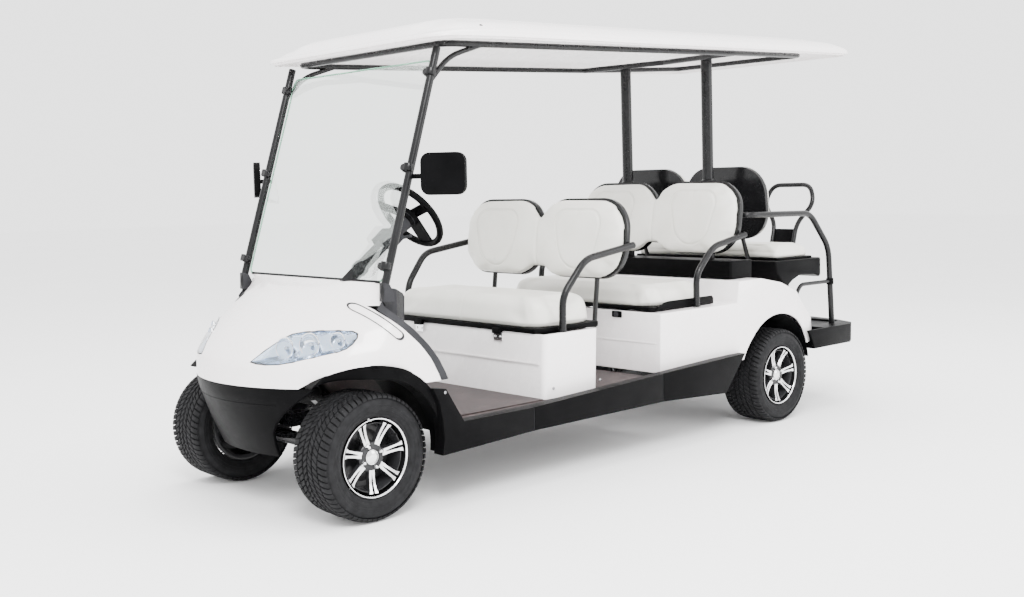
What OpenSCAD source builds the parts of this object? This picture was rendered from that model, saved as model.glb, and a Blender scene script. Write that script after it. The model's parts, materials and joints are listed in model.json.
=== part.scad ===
// Six-seat golf cart: open cabin, two forward benches, one rear-facing bench,
// arched roof, steered front wheels. -Y is the front, +X the left side, +Z up.
// Stations along the cart are written from the front axle and moved back by
// y_mid, so that the origin is the bottom centre of the whole cart.

/* [Wheels and axles] */
// Distance from front axle to rear axle
wheelbase = 2450; // [2350:10:2550]
// Tyre outer radius
tyre_r = 230; // [224:1:236]
// Tyre section width
tyre_w = 205; // [190:1:210]
// Front track, tyre centre to tyre centre
front_track = 873; // [868:1:880]
// Rear track, tyre centre to tyre centre
rear_track = 988; // [980:1:992]
// Rim flange radius
rim_r = 142; // [140:0.5:144]
// Distance between the two kingpins
kingpin_span = 670; // [664:1:674]
// Kingpin and tie rod pin radius
pin_r = 6; // [5:0.5:7]
// Wheel spindle radius
spindle_r = 15; // [12:0.5:17]
// Radial running clearance of bores over pins
run_gap = 0.05; // [0.02:0.01:0.1]

/* [Body] */
// Nose overhang ahead of the front axle
nose = 310; // [290:5:330]
// Tail overhang, front axle to the end of the rear foot platform
tail = 3300; // [3285:5:3320]
// Rearward lean of the rear grab handle per millimetre of height
handle_lean = 0.28; // [0.25:0.01:0.3]
// Rear grab handle tube radius
handle_r = 13; // [11:0.5:14]
// Half width of the front cowl
cowl_w = 585; // [575:1:592]
// Panel thickness
wall = 12; // [8:1:14]
// Top of the floor in the footwells
floor_z = 320; // [315:1:325]
// Half width over the side sills
sill_w = 600; // [590:1:604]
// Radius of the rear wheel arches
arch_r = 305; // [296:1:312]

/* [Seats] */
// Front face of the front seat pod
pod1_y = 850; // [840:5:860]
// Front face of the middle seat pod
pod2_y = 1580; // [1570:5:1590]
// Half width of the seat cushions
cushion_w = 474; // [465:1:475]
// Half width of the backrests
back_w = 502; // [495:1:503]
// Half distance between the armrest tubes
arm_x = 502; // [500:1:506]

/* [Roof and posts] */
// Half width of the roof
roof_w = 596; // [580:1:600]
// Height of the roof edge above the front axle
roof_z = 1690; // [1680:1:1700]
// Rise of the roof per millimetre towards the rear
roof_slope = 0.0441; // [0.03:0.001:0.05]
// Roof crown height over its edge
roof_crown = 122; // [100:1:130]
// Radius of the front strut tubes
strut_r = 15; // [13:0.5:16]
// Radius of the rear posts
post_r = 28; // [24:1:30]

/* [Steering] */
// Steering wheel radius to the centre of the rim
wheel_r = 142; // [140:1:150]
// Tilt of the steering column from vertical
column_tilt = 51.9; // [48:0.1:55]

/* [Hidden] */
function hy(z) = 3250 + (z - 431) * handle_lean;   // rear handle station at a height
y_mid = (hy(1168) + handle_r - nose) / 2;
kp = kingpin_span / 2;
fx = front_track / 2;
rx = rear_track / 2;
az = tyre_r;                       // axle height
arm_y = 85;                        // steering arm length
$fn = 48;

// ---------- helpers ----------
module place() translate([0, -y_mid, 0]) children();
module both() { children(); mirror([1, 0, 0]) children(); }
// straight round bar from a to b
module bar(a, b, r) {
  d = b - a; L = norm(d);
  translate(a) rotate([0, acos(d[2] / L), atan2(d[1], d[0])]) cylinder(r = r, h = L);
}
// bent tube through a list of points
module tube(p, r) {
  for (i = [0 : len(p) - 2]) bar(p[i], p[i + 1], r);
  for (i = [1 : len(p) - 2]) translate(p[i]) sphere(r = r + 1.5);
}
// profile in (Y, Z) extruded along X between x0 and x1
module side(x0, x1, pts) translate([x0, 0, 0]) rotate([90, 0, 90]) linear_extrude(x1 - x0) polygon(pts);
// profile in (X, Y) extruded upward
module plan(z0, z1, pts) translate([0, 0, z0]) linear_extrude(z1 - z0) polygon(pts);
module block(a, b) translate(a) cube(b - a);
// round disc about an X axis
module xcyl(x0, x1, y, z, r) translate([x0, y, z]) rotate([0, 90, 0]) cylinder(r = r, h = x1 - x0);
// rounded slab in the XY plane
module slab(w, y0, y1, z0, z1, r) hull()
  for (x = [-w + r, w - r], y = [y0 + r, y1 - r]) translate([x, y, z0]) cylinder(r = r, h = z1 - z0, $fn = 32);

// ---------- front cowl ----------
// outline of one level: nose station yf, half width w, side station ys
function level(yf, w, ys) = [for (t = [-90 : 9 : 90]) [w * sin(t), ys - (ys - yf) * pow(cos(t), 1.11)]];
// columns: height, nose station, half width, side station
cowl_levels = [[480, -310, 585, 200], [550, -308, 585, 200], [600, -275, 580, 200], [660, -215, 565, 220],
  [700, -161, 550, 220], [740, -96, 530, 220], [780, -35, 502, 205], [815, 28, 474, 165], [836, 75, 455, 126]];
module cowl_form(t) hull() {
  for (c = cowl_levels) plan(c[0] - t, c[0] - t + 1, concat(level(c[1] + t * 1.2, c[2] - t, c[3]),
    c[0] < 780 ? [[-c[2] + t, 470], [c[2] - t, 470]] : []));
}
// doorway cut: everything behind the slanted edge, moved back by d
module behind_door(d) side(-700, 700, [[60 + d, 900], [50 + d, 800], [56 + d, 755], [127 + d, 675], [174 + d, 616], [215 + d, 561], [246 + d, 507], [266 + d, 461], [276 + d, 440], [800, 400], [800, 900]]);
module front_cowl() color("white") place() difference() {
  cowl_form(0);
  cowl_form(wall);
  block([-700, -400, 460], [700, 500, 480.5]);
  both() intersection() { behind_door(0); block([456, -400, 300], [800, 900, 1000]); }
  intersection() { behind_door(0); block([-456.5, -400, 300], [456.5, 900, 760]); }
  block([-456.5, 128, 759], [456.5, 900, 1000]);
  both() xcyl(330, 700, -5, 275, 282);
  both() translate([474, 98, 700]) cylinder(r = 24, h = 200);
}
// columns: height, nose station, half width, side station
valance_levels = [[479.5, -310, 585, 200], [440, -304, 580, 200], [400, -290, 572, 200], [300, -252, 560, 200], [215, -212, 550, 200]];
module valance_form(t) hull() for (c = valance_levels)
  plan(c[0] - 1, c[0] + (t > 0 ? 5 : 0), level(c[1] + t * 1.15, c[2] - t, c[3]));
module front_valance() color([0.06, 0.06, 0.07]) place() intersection() {
  difference() { valance_form(0); valance_form(wall); block([-700, -150, 100], [700, 500, 500]); }
  translate([0, 0, 0]) rotate([90, 0, 0]) linear_extrude(400)
    polygon([[-190, 200], [190, 200], [205, 300], [270, 380], [345, 440], [395, 480], [-395, 480], [-345, 440], [-270, 380], [-205, 300]]);
}
// dash inside the cabin and slanted trims along both doorway edges
module dash_and_door_trims() color([0.13, 0.13, 0.14]) place() {
  difference() {
    intersection() { cowl_form(-1.5); behind_door(1); side(-700, 700, [[40, 830], [48, 700], [120, 590], [200, 455], [420, 380], [600, 380], [300, 900]]); }
    cowl_form(wall);
    behind_door(33);
    block([-470, -400, 300], [470, 800, 900]);
  }
  difference() {
    intersection() {
      cowl_form(wall + 1);
      side(-440, 440, [[114, 820], [262, 800], [285, 770], [275, 560], [262, 545], [262, 440], [246, 440], [246, 560], [200, 640], [150, 700], [114, 760]]);
    }
    block([-90, 100, 540], [90, 272, 760]);
    both() plan(600, 900, [[441, 176], [350, 280], [350, 400], [600, 400], [600, 176]]);
    translate([240, 117, 838]) rotate([-column_tilt, 0, 0]) cylinder(r = 27, h = 400, center = true);
  }
}
module headlights() color([0.8, 0.86, 0.92]) place() both() difference() {
  intersection() { cowl_form(-1.2);
    rotate([90, 0, 0]) linear_extrude(400) polygon([[172, 572], [235, 565], [330, 578], [440, 612], [458, 640], [452, 668], [360, 676], [262, 668]]); }
  cowl_form(-0.2);
}
module arch_liners() color([0.05, 0.05, 0.05]) place() both() {
  difference() { xcyl(228, 543, 0, az, 318); xcyl(200, 600, 0, az, 313);
    block([200, -400, -100], [600, 400, az + 40]); block([200, -400, 0], [600, -8, 700]); }
  difference() { xcyl(352, 556, wheelbase, az, arch_r - 1); xcyl(356, 600, wheelbase, az, arch_r - 6);
    block([300, 2000, -100], [600, 2900, az + 60]); xcyl(300, 400, wheelbase, az, 60); block([340, 2370, 200], [600, 2530, 330]); }
}
module side_sills() color([0.07, 0.07, 0.08]) place() both() difference() {
  side(sill_w - 54, sill_w, [[256, 267], [247, 207], [716, 226], [1513, 229], [1975, 205], [2128, 376], [1510, 353], [718, 318], [352, 318], [268, 449], [205, 459], [236, 400], [250, 340]]);
  for (y = [716, 1513]) block([sill_w - 3, y - 2, 180], [sill_w + 5, y + 2, 380]);
  plan(335.6, 700, [[0, 1579], [528.4, 1579], [540.4, 1800], [552.4, 2050], [578.4, 2230], [582.4, 2600], [0, 2600]]);
}
module floor_pan() color([0.12, 0.09, 0.09]) place() {
  difference() {
    block([-545.5, 300, floor_z - 14], [545.5, 1566, floor_z - 2]);
    both() { xcyl(227, 560, 0, az, 319.5); block([173, 290, floor_z - 20], [227, 334, floor_z]); }
  }
  block([-520, 320, floor_z - 1.7], [520, 845, floor_z + 3]);
  block([-520, 1185, floor_z - 1.7], [520, 1560, floor_z + 3]);
  side(-520, 520, [[262, 438], [268, 444], [322, 325], [318, 320]]);
}
module front_seat_pod() color("white") place() difference() {
  hull() { slab(524, pod1_y - 4, 1168, floor_z - 1, floor_z, 24); slab(521, pod1_y + 8, 1180, 579, 580, 24); }
  block([-505, pod1_y + 18, floor_z - 5], [505, 1150, 620]);
}
module battery_pack() color([0.1, 0.1, 0.12]) place() block([-400, 872, floor_z - 1], [400, 1140, 560]);

// ---------- rear body ----------
rear_side = [[pod2_y, 336], [pod2_y + 4, 605], [2120, 612], [2128, 716], [2290, 720], [2460, 690], [2590, 642], [2660, 578], [2750, 505], [2850, 432], [2850, 380], [2560, 336]];
rear_plan = [[0, pod2_y], [528, pod2_y], [540, 1800], [552, 2050], [578, 2230], [582, 2600], [560, 2760], [510, 2850], [0, 2850]];
module rear_body() color("white") place() difference() {
  intersection() { side(-620, 620, rear_side); both() plan(300, 800, rear_plan); }
  intersection() {
    side(-620, 620, [[pod2_y + wall, 300], [pod2_y + wall, 594], [2132, 600], [2139, 704], [2288, 708], [2452, 679], [2580, 632], [2648, 570], [2738, 497], [2830, 425], [2830, 300]]);
    both() plan(200, 800, [[0, pod2_y + wall], [515, pod2_y + wall], [528, 1800], [540, 2050], [566, 2230], [570, 2600], [548, 2752], [500, 2838], [0, 2838]]);
  }
  both() xcyl(350, 700, wheelbase, az, arch_r);
  block([-300, pod2_y + 40, 590], [300, 2000, 640]);
}
module rear_bulkhead() color([0.07, 0.07, 0.08]) place() difference() {
  slab(500, 2150, 2330, 721, 806, 14);
  both() translate([260, 2300, 600]) cylinder(r = post_r + 4, h = 400);
}

// ---------- seats ----------
module front_seat_base() color([0.06, 0.06, 0.06]) place() {
  slab(476, 852, 1240, 581, 601, 22);
  both() difference() { block([232, 836, 570], [282, 851.5, 592]); xcyl(230, 284, 843, 578, 4.5); }
  both() xcyl(232.5, 281.5, 843, 578, 4.4);
}
module front_seat_cushion() color([0.9, 0.89, 0.85]) place() slab(cushion_w, 850, 1238, 601.5, 722, 38);
module middle_seat_base() color([0.06, 0.06, 0.06]) place() {
  slab(476, 1586, 2040, 613, 629, 22);
  both() { block([236, 2030, 613.2], [278, 2048, 622]); xcyl(232, 282, 2048, 617.5, 4.4); }
}
module middle_seat_cushion() color([0.9, 0.89, 0.85]) place() slab(cushion_w, 1584, 2032, 629.5, 724, 38);
// one twin backrest: two rounded lobes joined in the middle
// columns: bottom front station, top front station, bottom, top, notch bottom, notch top
backs = [[1312, 1350, 765, 1117, 810, 1035], [2136, 2190, 835, 1190, 885, 1105]];
module lobes(w, h, n0, n1, r, t) rotate([90, 0, 0]) linear_extrude(t) {
  for (s = [-1, 1]) translate([s * w / 2 + s * 2, h / 2]) hull()
    for (x = [-1, 1], z = [-1, 1]) translate([x * (w / 2 - r - 2), z * (h / 2 - r)]) circle(r = r, $fn = 40);
  translate([-r - 10, n0]) square([2 * r + 20, n1 - n0]);
}
module back_at(c, d) translate([0, c[0] + d, c[2]]) rotate([-atan((c[1] - c[0]) / (c[3] - c[2])), 0, 0]) children();
rear_back_w = 484;
rear_back = [2560, 2520, 900, 1262, 945, 1180];
module backrest_cushions() color([0.9, 0.89, 0.85]) place() {
  for (c = backs) back_at(c, 54) lobes(back_w - 3, c[3] - c[2], c[4] - c[2], c[5] - c[2], 140, 52);
  back_at(rear_back, 0) lobes(rear_back_w - 3, 362, 45, 280, 140, 52);
}
module backrest_shells() color([0.05, 0.05, 0.055]) place() {
  for (c = backs) {
    back_at(c, 78.5) lobes(back_w, c[3] - c[2] + 3, c[4] - c[2], c[5] - c[2], 142, 24);
  }
  back_at(rear_back, -52.5) lobes(rear_back_w, 365, 45, 280, 142, 24);
  for (s = [-330, 330]) {
    bar([s, 1364, 552], [s, 1398, 870], 11);
    bar([s, 1176, 562], [s, 1366, 562], 9);
    bar([s, 2201, 809], [s, 2222, 930], 11);
    bar([s, 2546, 778], [s, 2485.5, 915], 11);
  }
}
// columns: base station, base height, front bend, bend height, rear bend, rear bend height, end, end height
arms = [[982, 590, 983, 727, 1104, 872, 1411, 917], [1880, 622, 1876, 759, 1984, 885, 2240, 932]];
module seat_armrests() color([0.04, 0.04, 0.04]) place() both() for (c = arms) {
  tube([[arm_x, c[0], c[1]], [arm_x, c[2], c[3]], [arm_x + 16, c[4], c[5]], [arm_x + 16, c[6], c[7]]], 15);
  bar([arm_x + 16, c[6] - 14, c[7] - 2], [450, c[6] - 14, c[7] - 2], 10);
  translate([arm_x, c[0], c[1] - 9.3]) cylinder(r = 18, h = 12);
}
module rear_seat_tray() color([0.06, 0.06, 0.065]) place() intersection() {
  side(-500, 500, [[2531, 785], [2990, 785], [3002, 690], [2960, 684], [2900, 700], [2760, 705], [2690, 680], [2640, 650], [2605, 660], [2540, 730]]);
  plan(600, 800, [[-500, 2520], [500, 2520], [500, 2940], [470, 3000], [-470, 3000], [-500, 2940]]);
}
module rear_seat_board() color([0.05, 0.05, 0.05]) place() {
  slab(470, 2600, 2925, 785.5, 797, 20);
  both() xcyl(180, 240, 2935, 791, 5.5);
}
module rear_seat_cushion() color([0.9, 0.89, 0.85]) place() slab(470, 2590, 2922, 797.5, 865, 30);
// columns of the rear handle: half width, height
hoop = [[-72, 431], [-72, 945], [-165, 1062], [-125, 1168], [125, 1168], [165, 1062], [72, 945], [72, 431]];
module rear_grab_rails() color([0.04, 0.04, 0.04]) place() {
  both() {
    tube([[300, 2300, 1024], [arm_x, 2300, 1024], [arm_x, 2838, 1020], [arm_x, 3022, 836], [arm_x, 3062, 431]], 15);
    tube([[arm_x, 2700, 590], [arm_x, 2757, 655], [arm_x, 3030, 655]], 10);
    translate([arm_x, 3040, 655]) sphere(r = 20);
  }
  tube([for (p = hoop) [p[0], hy(p[1]), p[1]]], handle_r);
  side(-64, 64, [[hy(800) - 3, 800], [hy(800) + 3, 800], [hy(915) + 3, 915], [hy(915) - 3, 915]]);
}
platform = [[0, 2700], [520, 2700], [590, 2650], [598, 2700], [598, 3090], [560, 3165], [420, 3240], [220, 3285], [0, tail]];
module rear_foot_platform() color([0.07, 0.07, 0.075]) place() difference() {
  both() plan(332, 430, platform);
  slab(545, 2740, 3190, 350, 408, 40);
  slab(480, 2862, 3180, 420, 440, 30);
  side(-583, 583, [[2500, 333.5], [2560, 333.5], [2853, 377.5], [2853, 500], [2500, 500]]);
  xcyl(-700, 700, wheelbase, az, arch_r);
}

// ---------- windshield, posts and roof ----------
slope_a = atan((1680 - 783) / (369 - 89));
module windshield() color([0.8, 0.9, 0.88, 0.35]) place() translate([0, 108, 838]) rotate([-(90 - slope_a), 0, 0])
  translate([0, 0, 0]) hull() for (x = [-430, 430], z = [22, 820]) translate([x, 5, z]) rotate([90, 0, 0]) cylinder(r = 22, h = 5, $fn = 32);
module roof_posts() color([0.04, 0.04, 0.04]) place() both() {
  tube([[477, 106, 762], [474, 90, 800], [473, 366, 1684]], strut_r);
  bar([260, 2306, 722], [260, 2281, 1790], post_r);
}
roof_front = 282;
roof_rear = 3118;
function rz(y) = roof_z + roof_slope * y;
module roof_frame() color([0.04, 0.04, 0.04]) place() {
  both() tube([[0, 398, rz(398) - 6], [452, 398, rz(398) - 6], [478, 440, rz(440) - 6], [478, 2200, rz(2200) + 4], [398, 2906, rz(2906) + 18], [0, 2906, rz(2906) + 18]], 12);
  both() bar([0, 2280, rz(2280) + 6], [478, 2200, rz(2200) + 4], 14);
  both() tube([[473, 330, 1560], [473, 420, 1660], [476, 560, rz(560) - 2]], 9);
}
module roof_form(t) hull() {
  translate([0, 0, rz(0)]) multmatrix([[1, 0, 0, 0], [0, 1, 0, 0], [0, roof_slope, 1, 0], [0, 0, 0, 1]]) {
    slab(roof_w - t, roof_front + t, roof_rear - t, 12 - t, 13 - t, 110);
    slab(roof_w - 4 - t, roof_front + 6 + t, roof_rear - 6 - t, 34 - t, 35 - t, 110);
    slab(roof_w - 60 - t, 350 + t, 3080 - t, 78 - t, 79 - t, 150);
    slab(roof_w - 190 - t, 520 + t, 2990 - t, roof_crown - 12 - t, roof_crown - 11 - t, 150);
    slab(roof_w - 360 - t, 720 + t, 2900 - t, roof_crown - t, roof_crown + 1 - t, 120);
  }
}
module roof() color("white") place() difference() { roof_form(0); roof_form(22); }
module side_mirrors() color([0.05, 0.05, 0.05]) place() both() {
  translate([618, 262, 1222]) rotate([90, 0, 30]) hull() for (x = [-50, 50], z = [-42, 42]) translate([x, z, 0]) cylinder(r = 33, h = 26, center = true, $fn = 32);
  bar([468, 231, 1215], [565, 240, 1215], 9);
}

// ---------- steering ----------
module at_column() translate([240, 410, 1070]) rotate([-column_tilt, 0, 0]) children();
module steering_wheel() color([0.04, 0.04, 0.045]) place() at_column() {
  rotate_extrude($fn = 64) translate([wheel_r, 0]) circle(r = 13, $fn = 32);
  difference() { translate([0, 0, -34]) cylinder(r1 = 30, r2 = 44, h = 30); translate([0, 0, -60]) cylinder(r = 9 + run_gap, h = 46); }
  for (a = [90, 198, 342]) rotate(a) translate([0, a < 100 ? -34 : -19, -5]) cube([138, a < 100 ? 68 : 38, 9]);
}
module steering_column() color([0.10, 0.10, 0.11]) place() {
  difference() {
    at_column() translate([0, 0, -402]) cylinder(r = 24, h = 322);
    translate([0, 108, 838]) rotate([-(90 - slope_a), 0, 0]) translate([150, -150, -3]) cube([180, 155.6, 250]);
  }
  at_column() { translate([0, 0, -90]) cylinder(r1 = 26, r2 = 34, h = 50);
    translate([0, 0, -42]) cylinder(r = 9, h = 26);
    translate([-52, -22, -175]) cube([104, 44, 70]); bar([52, 0, -140], [120, 0, -120], 6); }
}
module pedals() color([0.1, 0.1, 0.1]) place() for (x = [150, 290]) {
  translate([x - 35, 300, 400]) rotate([-38, 0, 0]) cube([70, 10, x > 200 ? 110 : 90]);
  bar([x, 312, 420], [x, 266, 525], 8);
}

// ---------- running gear ----------
module axle_ear(z0, z1) difference() { block([kp - 52, -24, z0], [kp + 22, 24, z1]); translate([kp, 0, z0 - 1]) cylinder(r = 12 + run_gap, h = z1 - z0 + 2); }
module front_axle() color([0.08, 0.08, 0.08]) place() {
  xcyl(-kp + 45, kp - 45, 0, az, 26);
  both() { block([kp - 52, -24, 148], [kp - 36, 24, 312]); axle_ear(306, 320); axle_ear(140, 154); }
}
module knuckle() {
  difference() { union() {
    translate([kp, 0, 138]) cylinder(r = 12, h = 184);
    translate([kp, 0, 160]) cylinder(r = 21, h = 140);
    xcyl(kp, fx + 44, 0, az, spindle_r);
    xcyl(kp + 14, kp + 30, 0, az, 46);
    block([kp - 12, 10, 184], [kp + 12, arm_y, 196]);
    translate([kp, arm_y, 184]) cylinder(r = 12, h = 12);
  } }
  translate([kp, arm_y, 158]) cylinder(r = pin_r, h = 30);
}
module front_left_knuckle() color([0.3, 0.3, 0.32]) place() knuckle();
module front_right_knuckle() color([0.3, 0.3, 0.32]) place() mirror([1, 0, 0]) knuckle();
module tie_rod() color([0.3, 0.3, 0.32]) place() difference() {
  union() { bar([-kp + 12, arm_y, 174], [kp - 8, arm_y, 174], 6.5);
    translate([kp, arm_y, 167]) cylinder(r = 12, h = 14); translate([-kp, arm_y, 167]) cylinder(r = 16, h = 14); }
  translate([kp, arm_y, 160]) cylinder(r = pin_r + run_gap, h = 30);
  translate([-kp, arm_y, 160]) cylinder(r = pin_r + 3, h = 30);
}
module leaf(x, y, z, L, n) for (i = [0 : n - 1]) let (l = L - i * 70)
  side(x - 25, x + 25, [for (s = [-1 : 0.25 : 1]) [y + s * l / 2, z - i * 8 + 26 * s * s * (l / L) * (l / L)], for (s = [1 : -0.25 : -1]) [y + s * l / 2, z - i * 8 + 7 + 26 * s * s * (l / L) * (l / L)]]);
module leaf_springs() color([0.12, 0.12, 0.13]) place() both() {
  leaf(165, 0, 271, 400, 2);
  leaf(310, wheelbase, 288, 560, 3);
  for (c = [[165, 0, 256.5], [310, wheelbase, 266]]) block([c[0] - 28, c[1] - 30, c[2]], [c[0] + 28, c[1] + 30, c[1] > 0 ? 271.5 : 262.5]);
}
module rear_axle() color([0.1, 0.1, 0.1]) place() {
  xcyl(-rx + 60, rx - 60, wheelbase, az, 30);
  xcyl(-52, 112, wheelbase, az, 82);
  xcyl(111, 252, wheelbase, az, 72);
  both() { xcyl(rx - 75, rx + 30, wheelbase, az, 20); xcyl(rx - 90, rx - 62, wheelbase, az, 92); }
}
rail = [[-150, 322], [-150, 372], [240, 372], [330, 304], [2100, 304], [2230, 395], [2620, 395], [2700, 330], [3150, 330], [3150, 290], [2690, 290], [2590, 340], [2250, 340], [2120, 246], [310, 246], [225, 322]];
module chassis_frame() color([0.08, 0.08, 0.08]) place() difference() {
  union() {
    both() side(175, 225, rail);
    for (c = [[-145, 324, 46], [640, 250, 50], [1400, 250, 50], [2000, 250, 50], [2560, 345, 40], [3060, 292, 36]]) block([-174.5, c[0], c[1]], [174.5, c[0] + 40, c[1] + c[2]]);
    for (y = [700, 1450, 2010]) both() block([225.5, y, 262], [544, y + 40, 302]);
    block([-100, 3144, 236], [100, 3154, 330]);
  }
  for (x = [-60, 60], z = [252, 282]) translate([x, 3130, z]) rotate([-90, 0, 0]) cylinder(r = 6.5, h = 40);
}
// columns of each tyre point: radius, distance from the middle
tyre_half = [[126.3, 0], [126.3, 83.6], [142, 84.4], [150, 96], [176, tyre_w / 2], [205, 99], [221, 90], [tyre_r, 66]];
module tyre() rotate([0, 90, 0]) rotate_extrude($fn = 96)
  polygon(concat([for (p = tyre_half) [p[0], p[1]]], [for (i = [len(tyre_half) - 1 : -1 : 1]) [tyre_half[i][0], -tyre_half[i][1]]]));
module rim() rotate([0, 90, 0]) {
  rotate_extrude($fn = 96) polygon([[126, -84.5], [126, 84.5], [rim_r - 1, 85], [rim_r, 90], [rim_r - 8, 90.5], [122, 84], [118, 60], [118, -80], [rim_r - 8, -90.5], [rim_r, -90], [rim_r - 1, -85]]);
  difference() {
    rotate_extrude($fn = 96) polygon([[0, 46], [44, 46], [60, 52], [122, 66], [122, 80], [60, 72], [40, 78], [0, 78]]);
    for (a = [0 : 51.43 : 359]) rotate(a) translate([88, 0, 40]) cylinder(r = 18, h = 60);
  }
  difference() { translate([0, 0, -34]) cylinder(r = 42, h = 81); translate([0, 0, -40]) cylinder(r = spindle_r + run_gap, h = 86); }
}
module at_wheel(x, y) place() translate([x, y, az]) scale(1) children();
module rear_rim() difference() { rim(); rotate([0, 90, 0]) translate([0, 0, -40]) cylinder(r = 20 + run_gap, h = 86); }
module front_left_tyre() color([0.03, 0.03, 0.03]) at_wheel(fx, 0) tyre();
module front_right_tyre() color([0.03, 0.03, 0.03]) at_wheel(-fx, 0) tyre();
module rear_left_tyre() color([0.03, 0.03, 0.03]) at_wheel(rx, wheelbase) tyre();
module rear_right_tyre() color([0.03, 0.03, 0.03]) at_wheel(-rx, wheelbase) tyre();
module front_left_rim() color([0.8, 0.8, 0.82]) at_wheel(fx, 0) rim();
module front_right_rim() color([0.8, 0.8, 0.82]) at_wheel(-fx, 0) mirror([1, 0, 0]) rim();
module rear_left_rim() color([0.8, 0.8, 0.82]) at_wheel(rx, wheelbase) rear_rim();
module rear_right_rim() color([0.8, 0.8, 0.82]) at_wheel(-rx, wheelbase) mirror([1, 0, 0]) rear_rim();

chassis_frame();
floor_pan();
front_cowl();
front_valance();
dash_and_door_trims();
headlights();
arch_liners();
side_sills();
front_seat_pod();
rear_body();
rear_bulkhead();
battery_pack();
front_seat_base();
front_seat_cushion();
middle_seat_base();
middle_seat_cushion();
backrest_cushions();
backrest_shells();
seat_armrests();
rear_seat_tray();
rear_seat_board();
rear_seat_cushion();
rear_grab_rails();
rear_foot_platform();
windshield();
roof_posts();
roof_frame();
roof();
side_mirrors();
steering_wheel();
steering_column();
pedals();
front_axle();
front_left_knuckle();
front_right_knuckle();
tie_rod();
leaf_springs();
rear_axle();
front_left_tyre();
front_right_tyre();
rear_left_tyre();
rear_right_tyre();
front_left_rim();
front_right_rim();
rear_left_rim();
rear_right_rim();
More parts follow.
